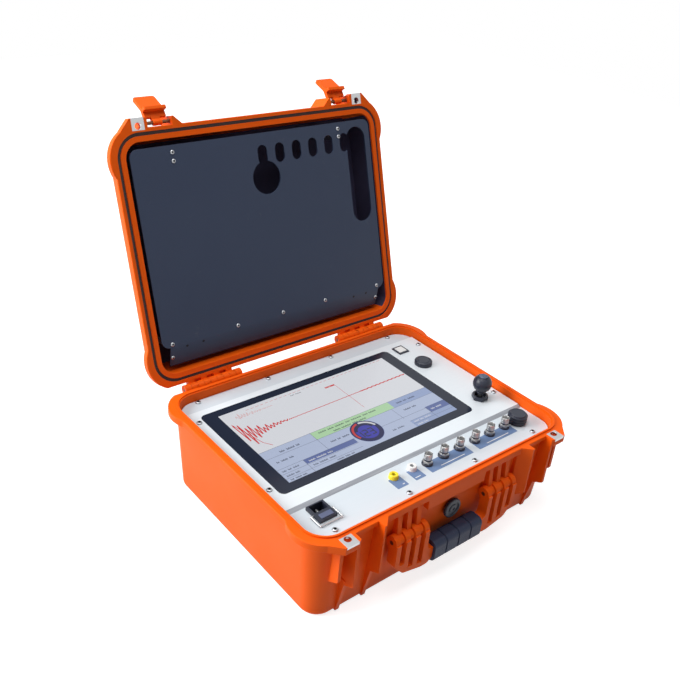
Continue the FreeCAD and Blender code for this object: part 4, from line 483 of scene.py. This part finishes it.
slate = finish("slate_coat", moulded, {
    "Colour": (0.030, 0.045, 0.088), "Deep": (0.026, 0.039, 0.078),
    "Grain": 2200.0, "Gloss": 0.34, "Scuff": 0.03}, relief=0.35, Specular_IOR_Level=0.32)
softened("insert_sheet", "lid_insert", 0.3 * MM, slate, "lid", "insert_slate")


def under_lid(x, y, z, tilt=0.0):
    """A seat on the open lid, given by its place on the shut lid, where it faces down."""
    return lid_open @ Matrix.Translation((x, y, z)) @ Matrix.Rotation(pi + tilt, 4, "X")


ORIGIN = (0, 0, 0)
INSERT_FACE = 116.6
FOLD = radians(21.8)
SMALL_KEY_HOLE = 1.3
INSERT_HEAD = [(0, 0), (2.6, 0), (2.6, 0.5), (2.2, 1.1), (1.5, 1.4), (SMALL_KEY_HOLE, 1.4, "six"),
               (1.25, 0.6, "six"), (0, 0.5)]
PIN_HOLE = [(0, 0), (1.6, 0), (1.6, 0.06), (0, 0.06)]
insert_heads, pin_holes = bmesh.new(), bmesh.new()
for x, y in ((-122, -110.4), (122, -110.4), (-122, -120.4), (122, -120.4),
             (-162, 100), (-69.5, 100), (0, 100), (69.5, 100), (162, 100)):
    turned(insert_heads, INSERT_HEAD, ORIGIN, 24, under_lid(x, y, INSERT_FACE), hollow=SMALL_KEY_HOLE)
for side in (-1, 1):
    turned(insert_heads, INSERT_HEAD, ORIGIN, 24, under_lid(side * 162, 117.5, 122.0, FOLD),
           hollow=SMALL_KEY_HOLE)
    for x in (120.0, 142.5):
        turned(pin_holes, PIN_HOLE, ORIGIN, 16, under_lid(side * x, 107.0, 117.8, FOLD))
piece("insert_pin_holes", pin_holes, socket_shade, "lid", "black_plastic")
piece("insert_screw_heads", insert_heads, (zinc, socket_shade), "lid", "steel", "insert_screws")


# The display is a sheet of toughened glass with a dark border printed behind it, bonded over the panel's
# window. The lit panel shows a trace on a pale graph over rows of blue readout cells and a round gauge.

printed, given, result = effect(
    "wiped_glass",
    [("Colour", COLOUR, (0.02, 0.02, 0.03, 1)), ("Gloss", VALUE, 0.06)],
    [("Colour", COLOUR), ("Roughness", VALUE), ("Height", VALUE)])
where = printed.nodes.new("ShaderNodeTexCoord")
wipe = printed.nodes.new("ShaderNodeTexNoise")
wipe.inputs["Scale"].default_value = 14.0
wipe.inputs["Detail"].default_value = 6.0
wipe.inputs["Distortion"].default_value = 2.2
printed.links.new(where.outputs["Object"], wipe.inputs["Vector"])
haze = printed.nodes.new("ShaderNodeMath")
haze.operation = "MULTIPLY_ADD"
haze.inputs[1].default_value = 0.10
printed.links.new(wipe.outputs["Fac"], haze.inputs[0])
printed.links.new(given.outputs["Gloss"], haze.inputs[2])
printed.links.new(haze.outputs[0], result.inputs["Roughness"])
printed.links.new(given.outputs["Colour"], result.inputs["Colour"])
printed.links.new(wipe.outputs["Fac"], result.inputs["Height"])
border = finish("screen_border", printed, {"Colour": (0.013, 0.018, 0.034), "Gloss": 0.12}, relief=0.01,
                Specular_IOR_Level=0.26)
softened("screen_sheet", "display_glass", 0.5 * MM, border, "base", "screen_glass")

lit, given, result = effect(
    "lit_cells", [("Colour", COLOUR, (1, 1, 1, 1)), ("Pitch", VALUE, 4000.0)], [("Colour", COLOUR)])
where = lit.nodes.new("ShaderNodeTexCoord")
dots = lit.nodes.new("ShaderNodeTexVoronoi")
dots.distance = "CHEBYCHEV"
dots.inputs["Randomness"].default_value = 0.0
lit.links.new(where.outputs["Object"], dots.inputs["Vector"])
lit.links.new(given.outputs["Pitch"], dots.inputs["Scale"])
gap = lit.nodes.new("ShaderNodeMapRange")
gap.inputs["From Min"].default_value = 0.40
gap.inputs["From Max"].default_value = 0.50
gap.inputs["To Min"].default_value = 0.0
gap.inputs["To Max"].default_value = 0.18
lit.links.new(dots.outputs["Distance"], gap.inputs["Value"])
grid = lit.nodes.new("ShaderNodeMix")
grid.data_type = "RGBA"
grid.inputs["B"].default_value = (0.05, 0.05, 0.06, 1.0)
lit.links.new(gap.outputs["Result"], grid.inputs["Factor"])
lit.links.new(given.outputs["Colour"], grid.inputs["A"])
lit.links.new(grid.outputs["Result"], result.inputs["Colour"])


def glowing(name, colour, strength=0.78):
    """A lit patch of the display under its glass."""
    material = bpy.data.materials.new(name)
    material.use_nodes = True
    tree = material.node_tree
    shader = tree.nodes["Principled BSDF"]
    cells = tree.nodes.new("ShaderNodeGroup")
    cells.node_tree = lit
    cells.inputs["Colour"].default_value = (*colour, 1.0)
    tree.links.new(cells.outputs["Colour"], shader.inputs["Emission Color"])
    shader.inputs["Emission Strength"].default_value = strength
    shader.inputs["Base Color"].default_value = (0.012, 0.012, 0.014, 1.0)
    shader.inputs["Roughness"].default_value = 0.22
    shader.inputs["Specular IOR Level"].default_value = 0.2
    return material


SHADES = {
    "graph_grey": (0.83, 0.85, 0.90), "pale_blue": (0.52, 0.60, 0.80), "mid_blue": (0.36, 0.45, 0.70),
    "deep_blue": (0.13, 0.18, 0.42), "green": (0.50, 0.78, 0.46), "red": (0.72, 0.05, 0.05),
    "ink": (0.03, 0.035, 0.07), "white": (0.86, 0.87, 0.90), "navy": (0.015, 0.018, 0.09),
    "line": (0.16, 0.18, 0.26), "bright_blue": (0.05, 0.05, 0.50), "pink": (0.80, 0.42, 0.42),
}
shade_index = {name: i for i, name in enumerate(SHADES)}
SCREEN = (-22.5, 24.1, 108.4)
FIRST_LIFT, LAYER_LIFT = 0.04, 0.03
picture = bmesh.new()


def tile(points, layer, shade):
    """A flat patch of the picture; points in millimetres from the display's middle, layers going up."""
    height = SCREEN[2] + FIRST_LIFT + LAYER_LIFT * layer
    verts = [picture.verts.new(((SCREEN[0] + x) * MM, (SCREEN[1] + y) * MM, height * MM)) for x, y in points]
    face = picture.faces.new(verts)
    if sum(a.co.x * b.co.y - b.co.x * a.co.y for a, b in zip(verts, verts[1:] + verts[:1])) < 0:
        face.normal_flip()
    face.material_index = shade_index[shade]


def cell(left, low, right, high, layer, shade):
    """An oblong patch of the picture."""
    tile([(left, low), (right, low), (right, high), (left, high)], layer, shade)


def stroke(points, width, layer, shade):
    """A drawn line, one flat quad for each step."""
    for (x0, y0), (x1, y1) in zip(points, points[1:]):
        run = Vector((x1 - x0, y1 - y0))
        across = Vector((-run.y, run.x)).normalized() * width / 2
        tile([(x0 - across.x, y0 - across.y), (x1 - across.x, y1 - across.y),
              (x1 + across.x, y1 + across.y), (x0 + across.x, y0 + across.y)], layer, shade)


GAUGE = (3.0, -45.0)


def sector(inner, outer, start, end, layer, shade, steps=40):
    """Part of a ring about the gauge's centre; angles in degrees from the right."""
    cx, cy = GAUGE
    turns = [radians(start + (end - start) * i / steps) for i in range(steps + 1)]
    for a, b in zip(turns, turns[1:]):
        corners = [(cx + outer * cos(a), cy + outer * sin(a)), (cx + outer * cos(b), cy + outer * sin(b))]
        corners += [(cx + inner * cos(b), cy + inner * sin(b)), (cx + inner * cos(a), cy + inner * sin(a))]
        tile(corners if inner > 0 else corners[:2] + [(cx, cy)], layer, shade)


MARK_PITCH, MARK_WIDTH = 1.1, 0.62


def tick_row(left, low, lengths, tall, layer, shade):
    """A readout of plain tick marks, in groups along one line."""
    for length in lengths:
        for i in range(int(length / MARK_PITCH)):
            tick = left + MARK_PITCH * i
            drop = 0.3 * tall * (i * i % 3 == 1)
            cell(tick, low, tick + MARK_WIDTH, low + tall - drop, layer, shade)
        left += length + 0.7 * tall


SIDE, TOP, FOOT = 128, 71, -71
GRAPH_FOOT, BAR_FOOT, ROW_FOOT = -13, -27, -48
cell(-SIDE, FOOT, SIDE, TOP, 0, "pale_blue")
cell(-SIDE, GRAPH_FOOT, SIDE, TOP, 1, "graph_grey")
cell(-57, BAR_FOOT, 63, GRAPH_FOOT, 1, "green")
cell(63, BAR_FOOT, SIDE, GRAPH_FOOT, 1, "mid_blue")
cell(-SIDE, ROW_FOOT, SIDE, BAR_FOOT, 1, "pale_blue")
cell(-93, -56, -20, ROW_FOOT, 2, "deep_blue")
cell(60, FOOT, SIDE, -58, 2, "mid_blue")
cell(96, -58, SIDE, -46, 2, "deep_blue")
UPRIGHT_HALF, LEVEL_HALF = 0.22, 0.2
for x, low, high in ((-57, -57, -12), (57.5, -50, BAR_FOOT), (-93, FOOT, ROW_FOOT), (96, FOOT, -46)):
    cell(x - UPRIGHT_HALF, low, x + UPRIGHT_HALF, high, 3, "line")
for y, left, right in ((GRAPH_FOOT, -SIDE, SIDE), (BAR_FOOT, -SIDE, SIDE), (ROW_FOOT, -SIDE, SIDE),
                       (-57, -SIDE, -20), (-65, -SIDE, -20), (-58, 60, SIDE), (-64.5, 60, SIDE)):
    cell(left, y - LEVEL_HALF, right, y + LEVEL_HALF, 3, "line")
for left, low, lengths, tall, shade in (
        (-106, -24, (7, 11, 5), 3.4, "ink"), (-48, -19, (12, 9, 14, 7, 16, 8, 12), 2.6, "ink"),
        (-30, -25, (10, 15, 8, 11), 2.6, "ink"), (72, -22, (9, 6, 12), 3.0, "ink"),
        (-120, -38, (4, 9, 6), 3.0, "ink"), (-46, -40, (8, 5, 10), 3.0, "ink"),
        (70, -38, (11, 7), 3.0, "ink"), (-88, -54, (9, 14, 7), 2.6, "white"),
        (-124, -54, (6, 5, 8), 2.6, "ink"), (-124, -62.5, (10, 6), 2.6, "ink"),
        (-88, -62.5, (7, 12, 9), 2.6, "ink"), (-124, -69.5, (5, 8, 6), 2.4, "ink"),
        (-60, -69.5, (10, 7, 5), 2.4, "ink"), (30, -62, (6, 10), 2.6, "ink"),
        (64, -62.5, (8, 6, 10), 2.4, "white"), (64, -69, (9, 7), 2.4, "white"),
        (101, -54, (6, 9), 3.0, "white")):
    tick_row(left, low, lengths, tall, 3, shade)

DECAY = 2.718
BURST_LEFT, TRACE_LEFT, ECHO_LEFT, DASH_LEFT = -124, -61, -112, -94
BURST_LEVEL, TRACE_LEVEL, ECHO_LEVEL, DASH_LEVEL = 23.0, 22.5, 57, 64.5
burst = []
for i in range(27):
    swing = 30 * DECAY ** (-i / 9) * (0.35 + 0.65 * abs(sin(2.3 * i + 0.7)))
    burst.append((BURST_LEFT + 2.4 * i, BURST_LEVEL + swing * (-1) ** i))
stroke(burst, 1.4, 4, "red")
stroke([(BURST_LEFT, 49), (-118, 28), (-112, 2), (-105, -8)], 0.8, 4, "red")
trace = []
for i in range(269):
    x = TRACE_LEFT + i * 0.7
    ripple = 0.9 * sin(0.9 * x) * (1 if x > 60 else 0.25)
    ringing = 1.6 * sin(2.1 * x) * DECAY ** ((TRACE_LEFT - x) / 14)
    trace.append((x, TRACE_LEVEL + 0.012 * (x + 60) + (ripple + ringing) * 0.6))
stroke(trace, 1.0, 4, "red")
stroke([point for point in trace if point[0] > 50], 1.8, 5, "red")
echo = [(x, ECHO_LEVEL + 9 * sin(2.6 * x) * sin(0.9 * x + 0.4) * DECAY ** ((ECHO_LEFT - x) / 22))
        for x in range(ECHO_LEFT, TRACE_LEFT + 1)]
stroke(echo, 0.6, 3, "pink")
for i in range(31):
    left = DASH_LEFT + i * 7.0
    low = DASH_LEVEL + i * 0.11
    stroke([(left, low), (left + 4.6, low + 0.3)], 0.5, 4, "red")
MARKER = 32
stroke([(MARKER, 52), (MARKER, -6)], 0.5, 4, "red")
cell(17, 51.6, MARKER, 54.4, 4, "red")
tick_row(18, 52.3, (3, 5), 1.2, 5, "white")
tick_row(-30, 61, (6, 9), 1.6, 3, "ink")

RIM, BAND_INNER, BAND_OUTER, DIAL = 20.5, 15.6, 18.4, 14.4
sector(0, RIM, 0, 360, 4, "deep_blue", 72)
sector(0, RIM - 0.5, 0, 360, 5, "navy", 72)
sector(BAND_INNER, BAND_OUTER, 98, 205, 6, "red")
sector(BAND_INNER, BAND_OUTER, 15, 90, 6, "white")
sector(0, DIAL, 0, 360, 6, "bright_blue", 60)
sector(11.0, DIAL, 20, 160, 7, "navy")
BARS = {"top": ((0, 8), (4, 8)), "upper": ((4, 8), (4, 4)), "lower": ((4, 4), (4, 0)),
        "foot": ((0, 0), (4, 0)), "lower_left": ((0, 4), (0, 0)), "middle": ((0, 4), (4, 4))}
DIGIT_FOOT, DIGIT_SCALE = -53.5, 1.4
for left, bars in ((-12.0, ("upper", "lower")), (-3.4, ("top", "upper", "middle", "lower_left", "foot")),
                   (5.0, ("top", "upper", "middle", "lower", "foot"))):
    for bar in bars:
        stroke([(left + DIGIT_SCALE * x, DIGIT_FOOT + DIGIT_SCALE * y) for x, y in BARS[bar]], 1.5, 8, "ink")

lit_shades = tuple(glowing(f"screen_{name}", colour) for name, colour in SHADES.items())
piece("screen_picture", picture, lit_shades, "base", "screen_panel")
screen_back = glowing("screen_backlight", (0.5, 0.55, 0.65), 0.5)
dress(screen_back, "lcd_module")


# The power switch is a square white button in a black frame clipped into the plate.
# The data socket beside it is shut by a ribbed rubber cap.

white_plastic = finish("white_plastic", moulded, {
    "Colour": (0.80, 0.80, 0.79), "Deep": (0.74, 0.74, 0.73),
    "Grain": 900.0, "Gloss": 0.18, "Scuff": 0.02}, relief=0.08)
softened("power_surround", "power_button_frame", 0.4 * MM, black_plastic, "base", "black_plastic")
softened("power_key", "power_button", 0.5 * MM, white_plastic, "power_button", "white_plastic")
DATA_SPOT = (145.0, 55.0, PLATE_TOP)
data_lid = bmesh.new()
turned(data_lid, [(0, -3.9), (6.9, -3.9), (6.9, 0), (11.6, 0), (11.9, 0.3, "grip"), (11.9, 4.9, "grip"),
                  (11.3, 5.7), (10.4, 6.2), (8.8, 6.3), (8.4, 5.8), (7.8, 5.8), (7.4, 6.3), (0, 6.5)],
       DATA_SPOT, 120, grips=30, bite=0.35)
piece("data_lid", data_lid, black_plastic, "data_cap", "black_plastic", "data_cap")


# The joystick is a ball knob on a steel shaft, held by a hexagon nut on the plate.
# A push button of paler slate plastic, with moulded ridges, sits in its top.

STICK_X, STICK_Y, BALL_HEIGHT = 149.0, -44.3, 130.5
BALL_SPOT = (STICK_X, STICK_Y, BALL_HEIGHT)
nut = bmesh.new()
turned(nut, [(7.35, 0), (10.0, 0, "six"), (10.5, 0.5, "six"), (10.5, 5.2, "six"), (9.6, 5.9), (8.0, 6.0),
             (7.35, 5.6), (7.35, 0)], (STICK_X, STICK_Y, PLATE_TOP), 48)
piece("stick_nut", nut, black_plastic, "base", "black_plastic", "joystick_nut")
BALL_RADIUS = 11.95
knob_profile = [(0, -14.4), (4.4, -14.4), (5.0, -13.9), (5.0, -12.9), (4.6, -12.5), (4.6, -12.1),
                (5.0, -11.7)]
for i in range(15):
    lean = radians(-65 + i * 118 / 14)
    knob_profile.append((BALL_RADIUS * cos(lean), BALL_RADIUS * sin(lean)))
knob_profile += [(6.6, 9.5), (6.0, 9.3), (6.0, 4.4), (0, 4.4)]
knob = bmesh.new()
turned(knob, knob_profile, BALL_SPOT, 56)
piece("stick_knob", knob, black_plastic, "joystick", "black_plastic", "joystick_ball")
key_plastic = finish("key_plastic", moulded, {
    "Colour": (0.10, 0.125, 0.19), "Deep": (0.085, 0.11, 0.165),
    "Grain": 1400.0, "Gloss": 0.34, "Scuff": 0.03}, relief=0.15)
KEY_TOP, RIDGE_REACH = 11.1, 4.6
key = bmesh.new()
turned(key, [(0, 5.7), (5.5, 5.7), (5.5, 10.6), (5.1, 11.0), (4.4, KEY_TOP), (0, KEY_TOP)], BALL_SPOT, 40)
for across in (-3.0, -1.5, 0.0, 1.5, 3.0):
    ridge = bmesh.ops.create_cube(key, size=MM)["verts"]
    bmesh.ops.scale(key, vec=(0.7, 2 * (RIDGE_REACH ** 2 - across ** 2) ** 0.5, 0.8), verts=ridge)
    bmesh.ops.translate(key, vec=Vector((STICK_X + across, STICK_Y, BALL_HEIGHT + KEY_TOP)) * MM, verts=ridge)
piece("stick_key", key, key_plastic, "joystick_button", "black_plastic", "joystick_button")


# Six coaxial bayonet sockets are nutted through the panel on black insulating collars.
# Each is a nickel-plated barrel with two lugs and a rubber ring at its foot,
# round a white dielectric and its contact.

nickel = finish("nickel_plate", brushed, {
    "Colour": (0.43, 0.43, 0.43), "Along": 500.0, "Across": 500.0, "Gloss": 0.24, "Contrast": 0.10},
    relief=0.05, Metallic=1.0)
COAX_FIRST, COAX_PITCH, COAX_ROW = 0.5, 26, -102.0
LUG_HEIGHT = 11.0
barrels, collars, fillers = bmesh.new(), bmesh.new(), bmesh.new()
for i in range(6):
    spot = (COAX_FIRST + COAX_PITCH * i, COAX_ROW, PANEL_TOP)
    turned(barrels, [(0, -15.9), (4.7, -15.9), (4.7, 2.6), (6.0, 2.6, "six"), (6.0, 4.6, "six"), (4.75, 4.8),
                     (4.75, 5.4), (4.3, 5.6), (4.3, 7.2), (4.75, 7.4), (4.75, 13.8), (4.6, 14.3), (4.3, 14.5),
                     (4.1, 14.2), (4.08, 4.2), (0, 4.2)], spot, 36)
    for side in (0.0, pi):
        turned(barrels, [(0, 4.0), (0.95, 4.0), (0.95, 5.3), (0.7, 5.5), (0, 5.5)],
               (spot[0], spot[1], spot[2] + LUG_HEIGHT), 14,
               Matrix.Rotation(side, 4, "Z") @ Matrix.Rotation(pi / 2, 4, "Y"))
    turned(barrels, [(0, 4.3), (0.68, 4.3), (0.68, 11.4), (0.4, 11.75), (0, 11.75)], spot, 14)
    turned(collars, [(4.82, 0), (6.6, 0), (6.6, 1.9), (6.1, 2.55), (4.82, 2.55), (4.82, 0)], spot, 36)
    turned(collars, [(4.32, 5.65), (4.6, 5.75), (4.6, 7.05), (4.32, 7.15), (4.32, 5.65)], spot, 36)
    turned(fillers, [(0.75, 4.25), (3.2, 4.25), (3.2, 9.6), (3.0, 9.9), (1.3, 9.9), (0.75, 9.4),
                     (0.75, 4.25)], spot, 28)
piece("coax_barrels", barrels, nickel, "base", "nickel", "coax_sockets")
piece("coax_collars", collars, black_plastic, "base", "black_plastic", "coax_insulators")
piece("coax_fillers", fillers, white_plastic, "base", "white_plastic")


# Blank label strips are screen-printed on the panel beside the sockets: thin slate fields of ink,
# each with a short white rule printed over it.

def film(shape, left, low, right, high, bend, bottom, top):
    """A thin flat layer with round corners, between two heights."""
    older = set(shape.faces)
    corners = bmesh.ops.create_grid(shape, x_segments=1, y_segments=1, size=0.5 * MM)["verts"]
    bmesh.ops.scale(shape, vec=(right - left, high - low, 1.0), verts=corners)
    bmesh.ops.translate(shape, vec=((left + right) / 2 * MM, (low + high) / 2 * MM, bottom * MM),
                        verts=corners)
    bmesh.ops.bevel(shape, geom=corners, offset=bend * MM, segments=4, profile=0.5, affect="VERTICES",
                    material=-1)
    sheet = [face for face in shape.faces if face not in older]
    raised = bmesh.ops.extrude_face_region(shape, geom=sheet)["geom"]
    bmesh.ops.translate(shape, vec=(0, 0, (top - bottom) * MM),
                        verts=[item for item in raised if isinstance(item, bmesh.types.BMVert)])


ink_blue = finish("label_ink", moulded, {
    "Colour": (0.125, 0.200, 0.360), "Deep": (0.110, 0.178, 0.330),
    "Grain": 2500.0, "Gloss": 0.42, "Scuff": 0.02}, relief=0.05)
STRIP_LOW, STRIP_HIGH, STRIP_TOP = -117.0, -100.0, 105.62
RULE_LOW, RULE_HIGH, RULE_TOP = -113.6, -112.6, 105.70
strips, rules = bmesh.new(), bmesh.new()
for left, right in ((-5.6, 61.4), (72.0, 138.9), (-57.0, -41.0), (-30.0, -15.0)):
    film(strips, left, STRIP_LOW, right, STRIP_HIGH, 0.8, PANEL_TOP, STRIP_TOP)
for left, right in ((12.0, 50.0), (88.0, 126.0), (-28.0, -20.0), (-47.0, -44.0)):
    film(rules, left, RULE_LOW, right, RULE_HIGH, 0.3, STRIP_TOP, RULE_TOP)
piece("label_strips", strips, ink_blue, "base", "insert_slate")
piece("label_rules", rules, white_plastic, "base", "white_plastic")


# Two single-pole test sockets, one yellow and one white, stand at the left of the coaxial row.
# They are nylon mouldings pushed into the panel, each with a plated sleeve inside.

yellow_plastic = finish("yellow_plastic", moulded, {
    "Colour": (0.86, 0.72, 0.02), "Deep": (0.80, 0.64, 0.015),
    "Grain": 900.0, "Gloss": 0.20, "Scuff": 0.03}, relief=0.08)
JACK = [(2.35, -9.0), (4.4, -22.9), (4.4, 0), (5.5, 0), (5.8, 0.3), (5.25, 4.9), (4.7, 5.5), (2.9, 5.5),
        (2.35, 5.0), (2.35, -9.0)]
SLEEVE = [(2.02, -10.0), (2.32, -10.0), (2.32, 1.6), (2.02, 1.7), (2.02, -10.0)]
JACK_ROW = -99.5
sleeves = bmesh.new()
for name, x, material, slot in (("yellow_jack", -48.5, yellow_plastic, "yellow_plastic"),
                                ("white_jack", -21.0, white_plastic, "white_plastic")):
    jack = bmesh.new()
    turned(jack, JACK, (x, JACK_ROW, PANEL_TOP), 40)
    piece(name, jack, material, "base", slot, name.replace("jack", "socket"))
    turned(sleeves, SLEEVE, (x, JACK_ROW, PANEL_TOP), 28)
piece("jack_sleeves", sleeves, nickel, "base", "nickel")


# The mains inlet is a black snap-in moulding with three plated blades, a fuse drawer and a wire bail
# that swings over to hold the plug.

grey_plastic = finish("grey_plastic", moulded, {
    "Colour": (0.085, 0.105, 0.185), "Deep": (0.075, 0.092, 0.165),
    "Grain": 1300.0, "Gloss": 0.34, "Scuff": 0.03}, relief=0.15)
softened("inlet_body", "mains_inlet", 0.5 * MM, black_plastic, "base", "black_plastic")
softened("inlet_contacts", "inlet_blades", 0.3 * MM, nickel, "base", "nickel")
softened("fuse_tray", "fuse_drawer", 0.4 * MM, grey_plastic, "fuse_drawer", "grey_plastic")
dress(steel, "inlet_bail")


# The round connector at the right is a black moulding nutted through the panel, shut by a ribbed rubber cap.
# The cap has a finger tab at one side and an eye for a tether at the other.

softened("round_body", "round_connector", 0.4 * MM, black_plastic, "base", "black_plastic")
ROUND_SPOT = Vector((152.5, -103.0, 108.5))
EYE_PLACE, TAB_WIDTH, TAB_MIDDLE = -13.4, 4.4, 2.25
cover = bmesh.new()
turned(cover, [(8.75, 0), (11.7, 0), (12.0, 0.3), (12.0, 1.5), (11.2, 1.9), (11.2, 3.2), (12.0, 3.6),
               (12.0, 5.0), (11.2, 5.4), (11.2, 6.7), (12.0, 7.1), (12.0, 8.3), (11.6, 8.7), (10.5, 8.8),
               (10.2, 9.3), (10.1, 10.1), (9.7, 10.5), (8.0, 10.5), (7.7, 10.2), (0, 10.2), (0, 8.3),
               (8.75, 8.3), (8.75, 0)], ROUND_SPOT, 72)
turned(cover, [(1.15, 0), (2.0, 0), (2.25, 0.3), (2.25, 4.2), (2.0, 4.5), (1.15, 4.5), (1.15, 0)],
       ROUND_SPOT + Vector((EYE_PLACE, 0, 0)), 28)
for near, far in ((-12.0, -10.5), (10.5, 13.4)):
    tab = bmesh.ops.create_cube(cover, size=MM)["verts"]
    bmesh.ops.scale(cover, vec=(far - near, TAB_WIDTH, TAB_WIDTH), verts=tab)
    bmesh.ops.translate(cover, vec=(ROUND_SPOT + Vector(((near + far) / 2, 0, TAB_MIDDLE))) * MM, verts=tab)
piece("round_cover", cover, black_plastic, "round_cap", "black_plastic", "round_cap")


# Inside the closed base a folded aluminium tray carries the boards, the supply and the strapped battery pack.
# Milled frames and posts carry the panels, and the joystick's steel stick and gimbal sit in its housing.

milled = finish("milled_aluminium", brushed, {
    "Colour": (0.62, 0.63, 0.64), "Gloss": 0.28}, relief=0.15, Metallic=1.0)
solder_mask = finish("solder_mask", moulded, {
    "Colour": (0.014, 0.11, 0.045), "Deep": (0.010, 0.08, 0.035),
    "Grain": 700.0, "Gloss": 0.22, "Scuff": 0.02})
shrink_film = finish("shrink_film", moulded, {
    "Colour": (0.025, 0.05, 0.14), "Deep": (0.02, 0.04, 0.11),
    "Grain": 300.0, "Gloss": 0.2, "Scuff": 0.04})
dress(milled, "panel_frame", "chassis_tray", "insert_posts", "battery_strap", "power_supply")
dress(solder_mask, "main_board", "pulse_board")
dress(shrink_film, "battery_pack")
dress(steel, "board_standoffs", "joystick_gimbal", "joystick_stick")
dress(black_plastic, "power_switch", "data_socket", "joystick_housing")
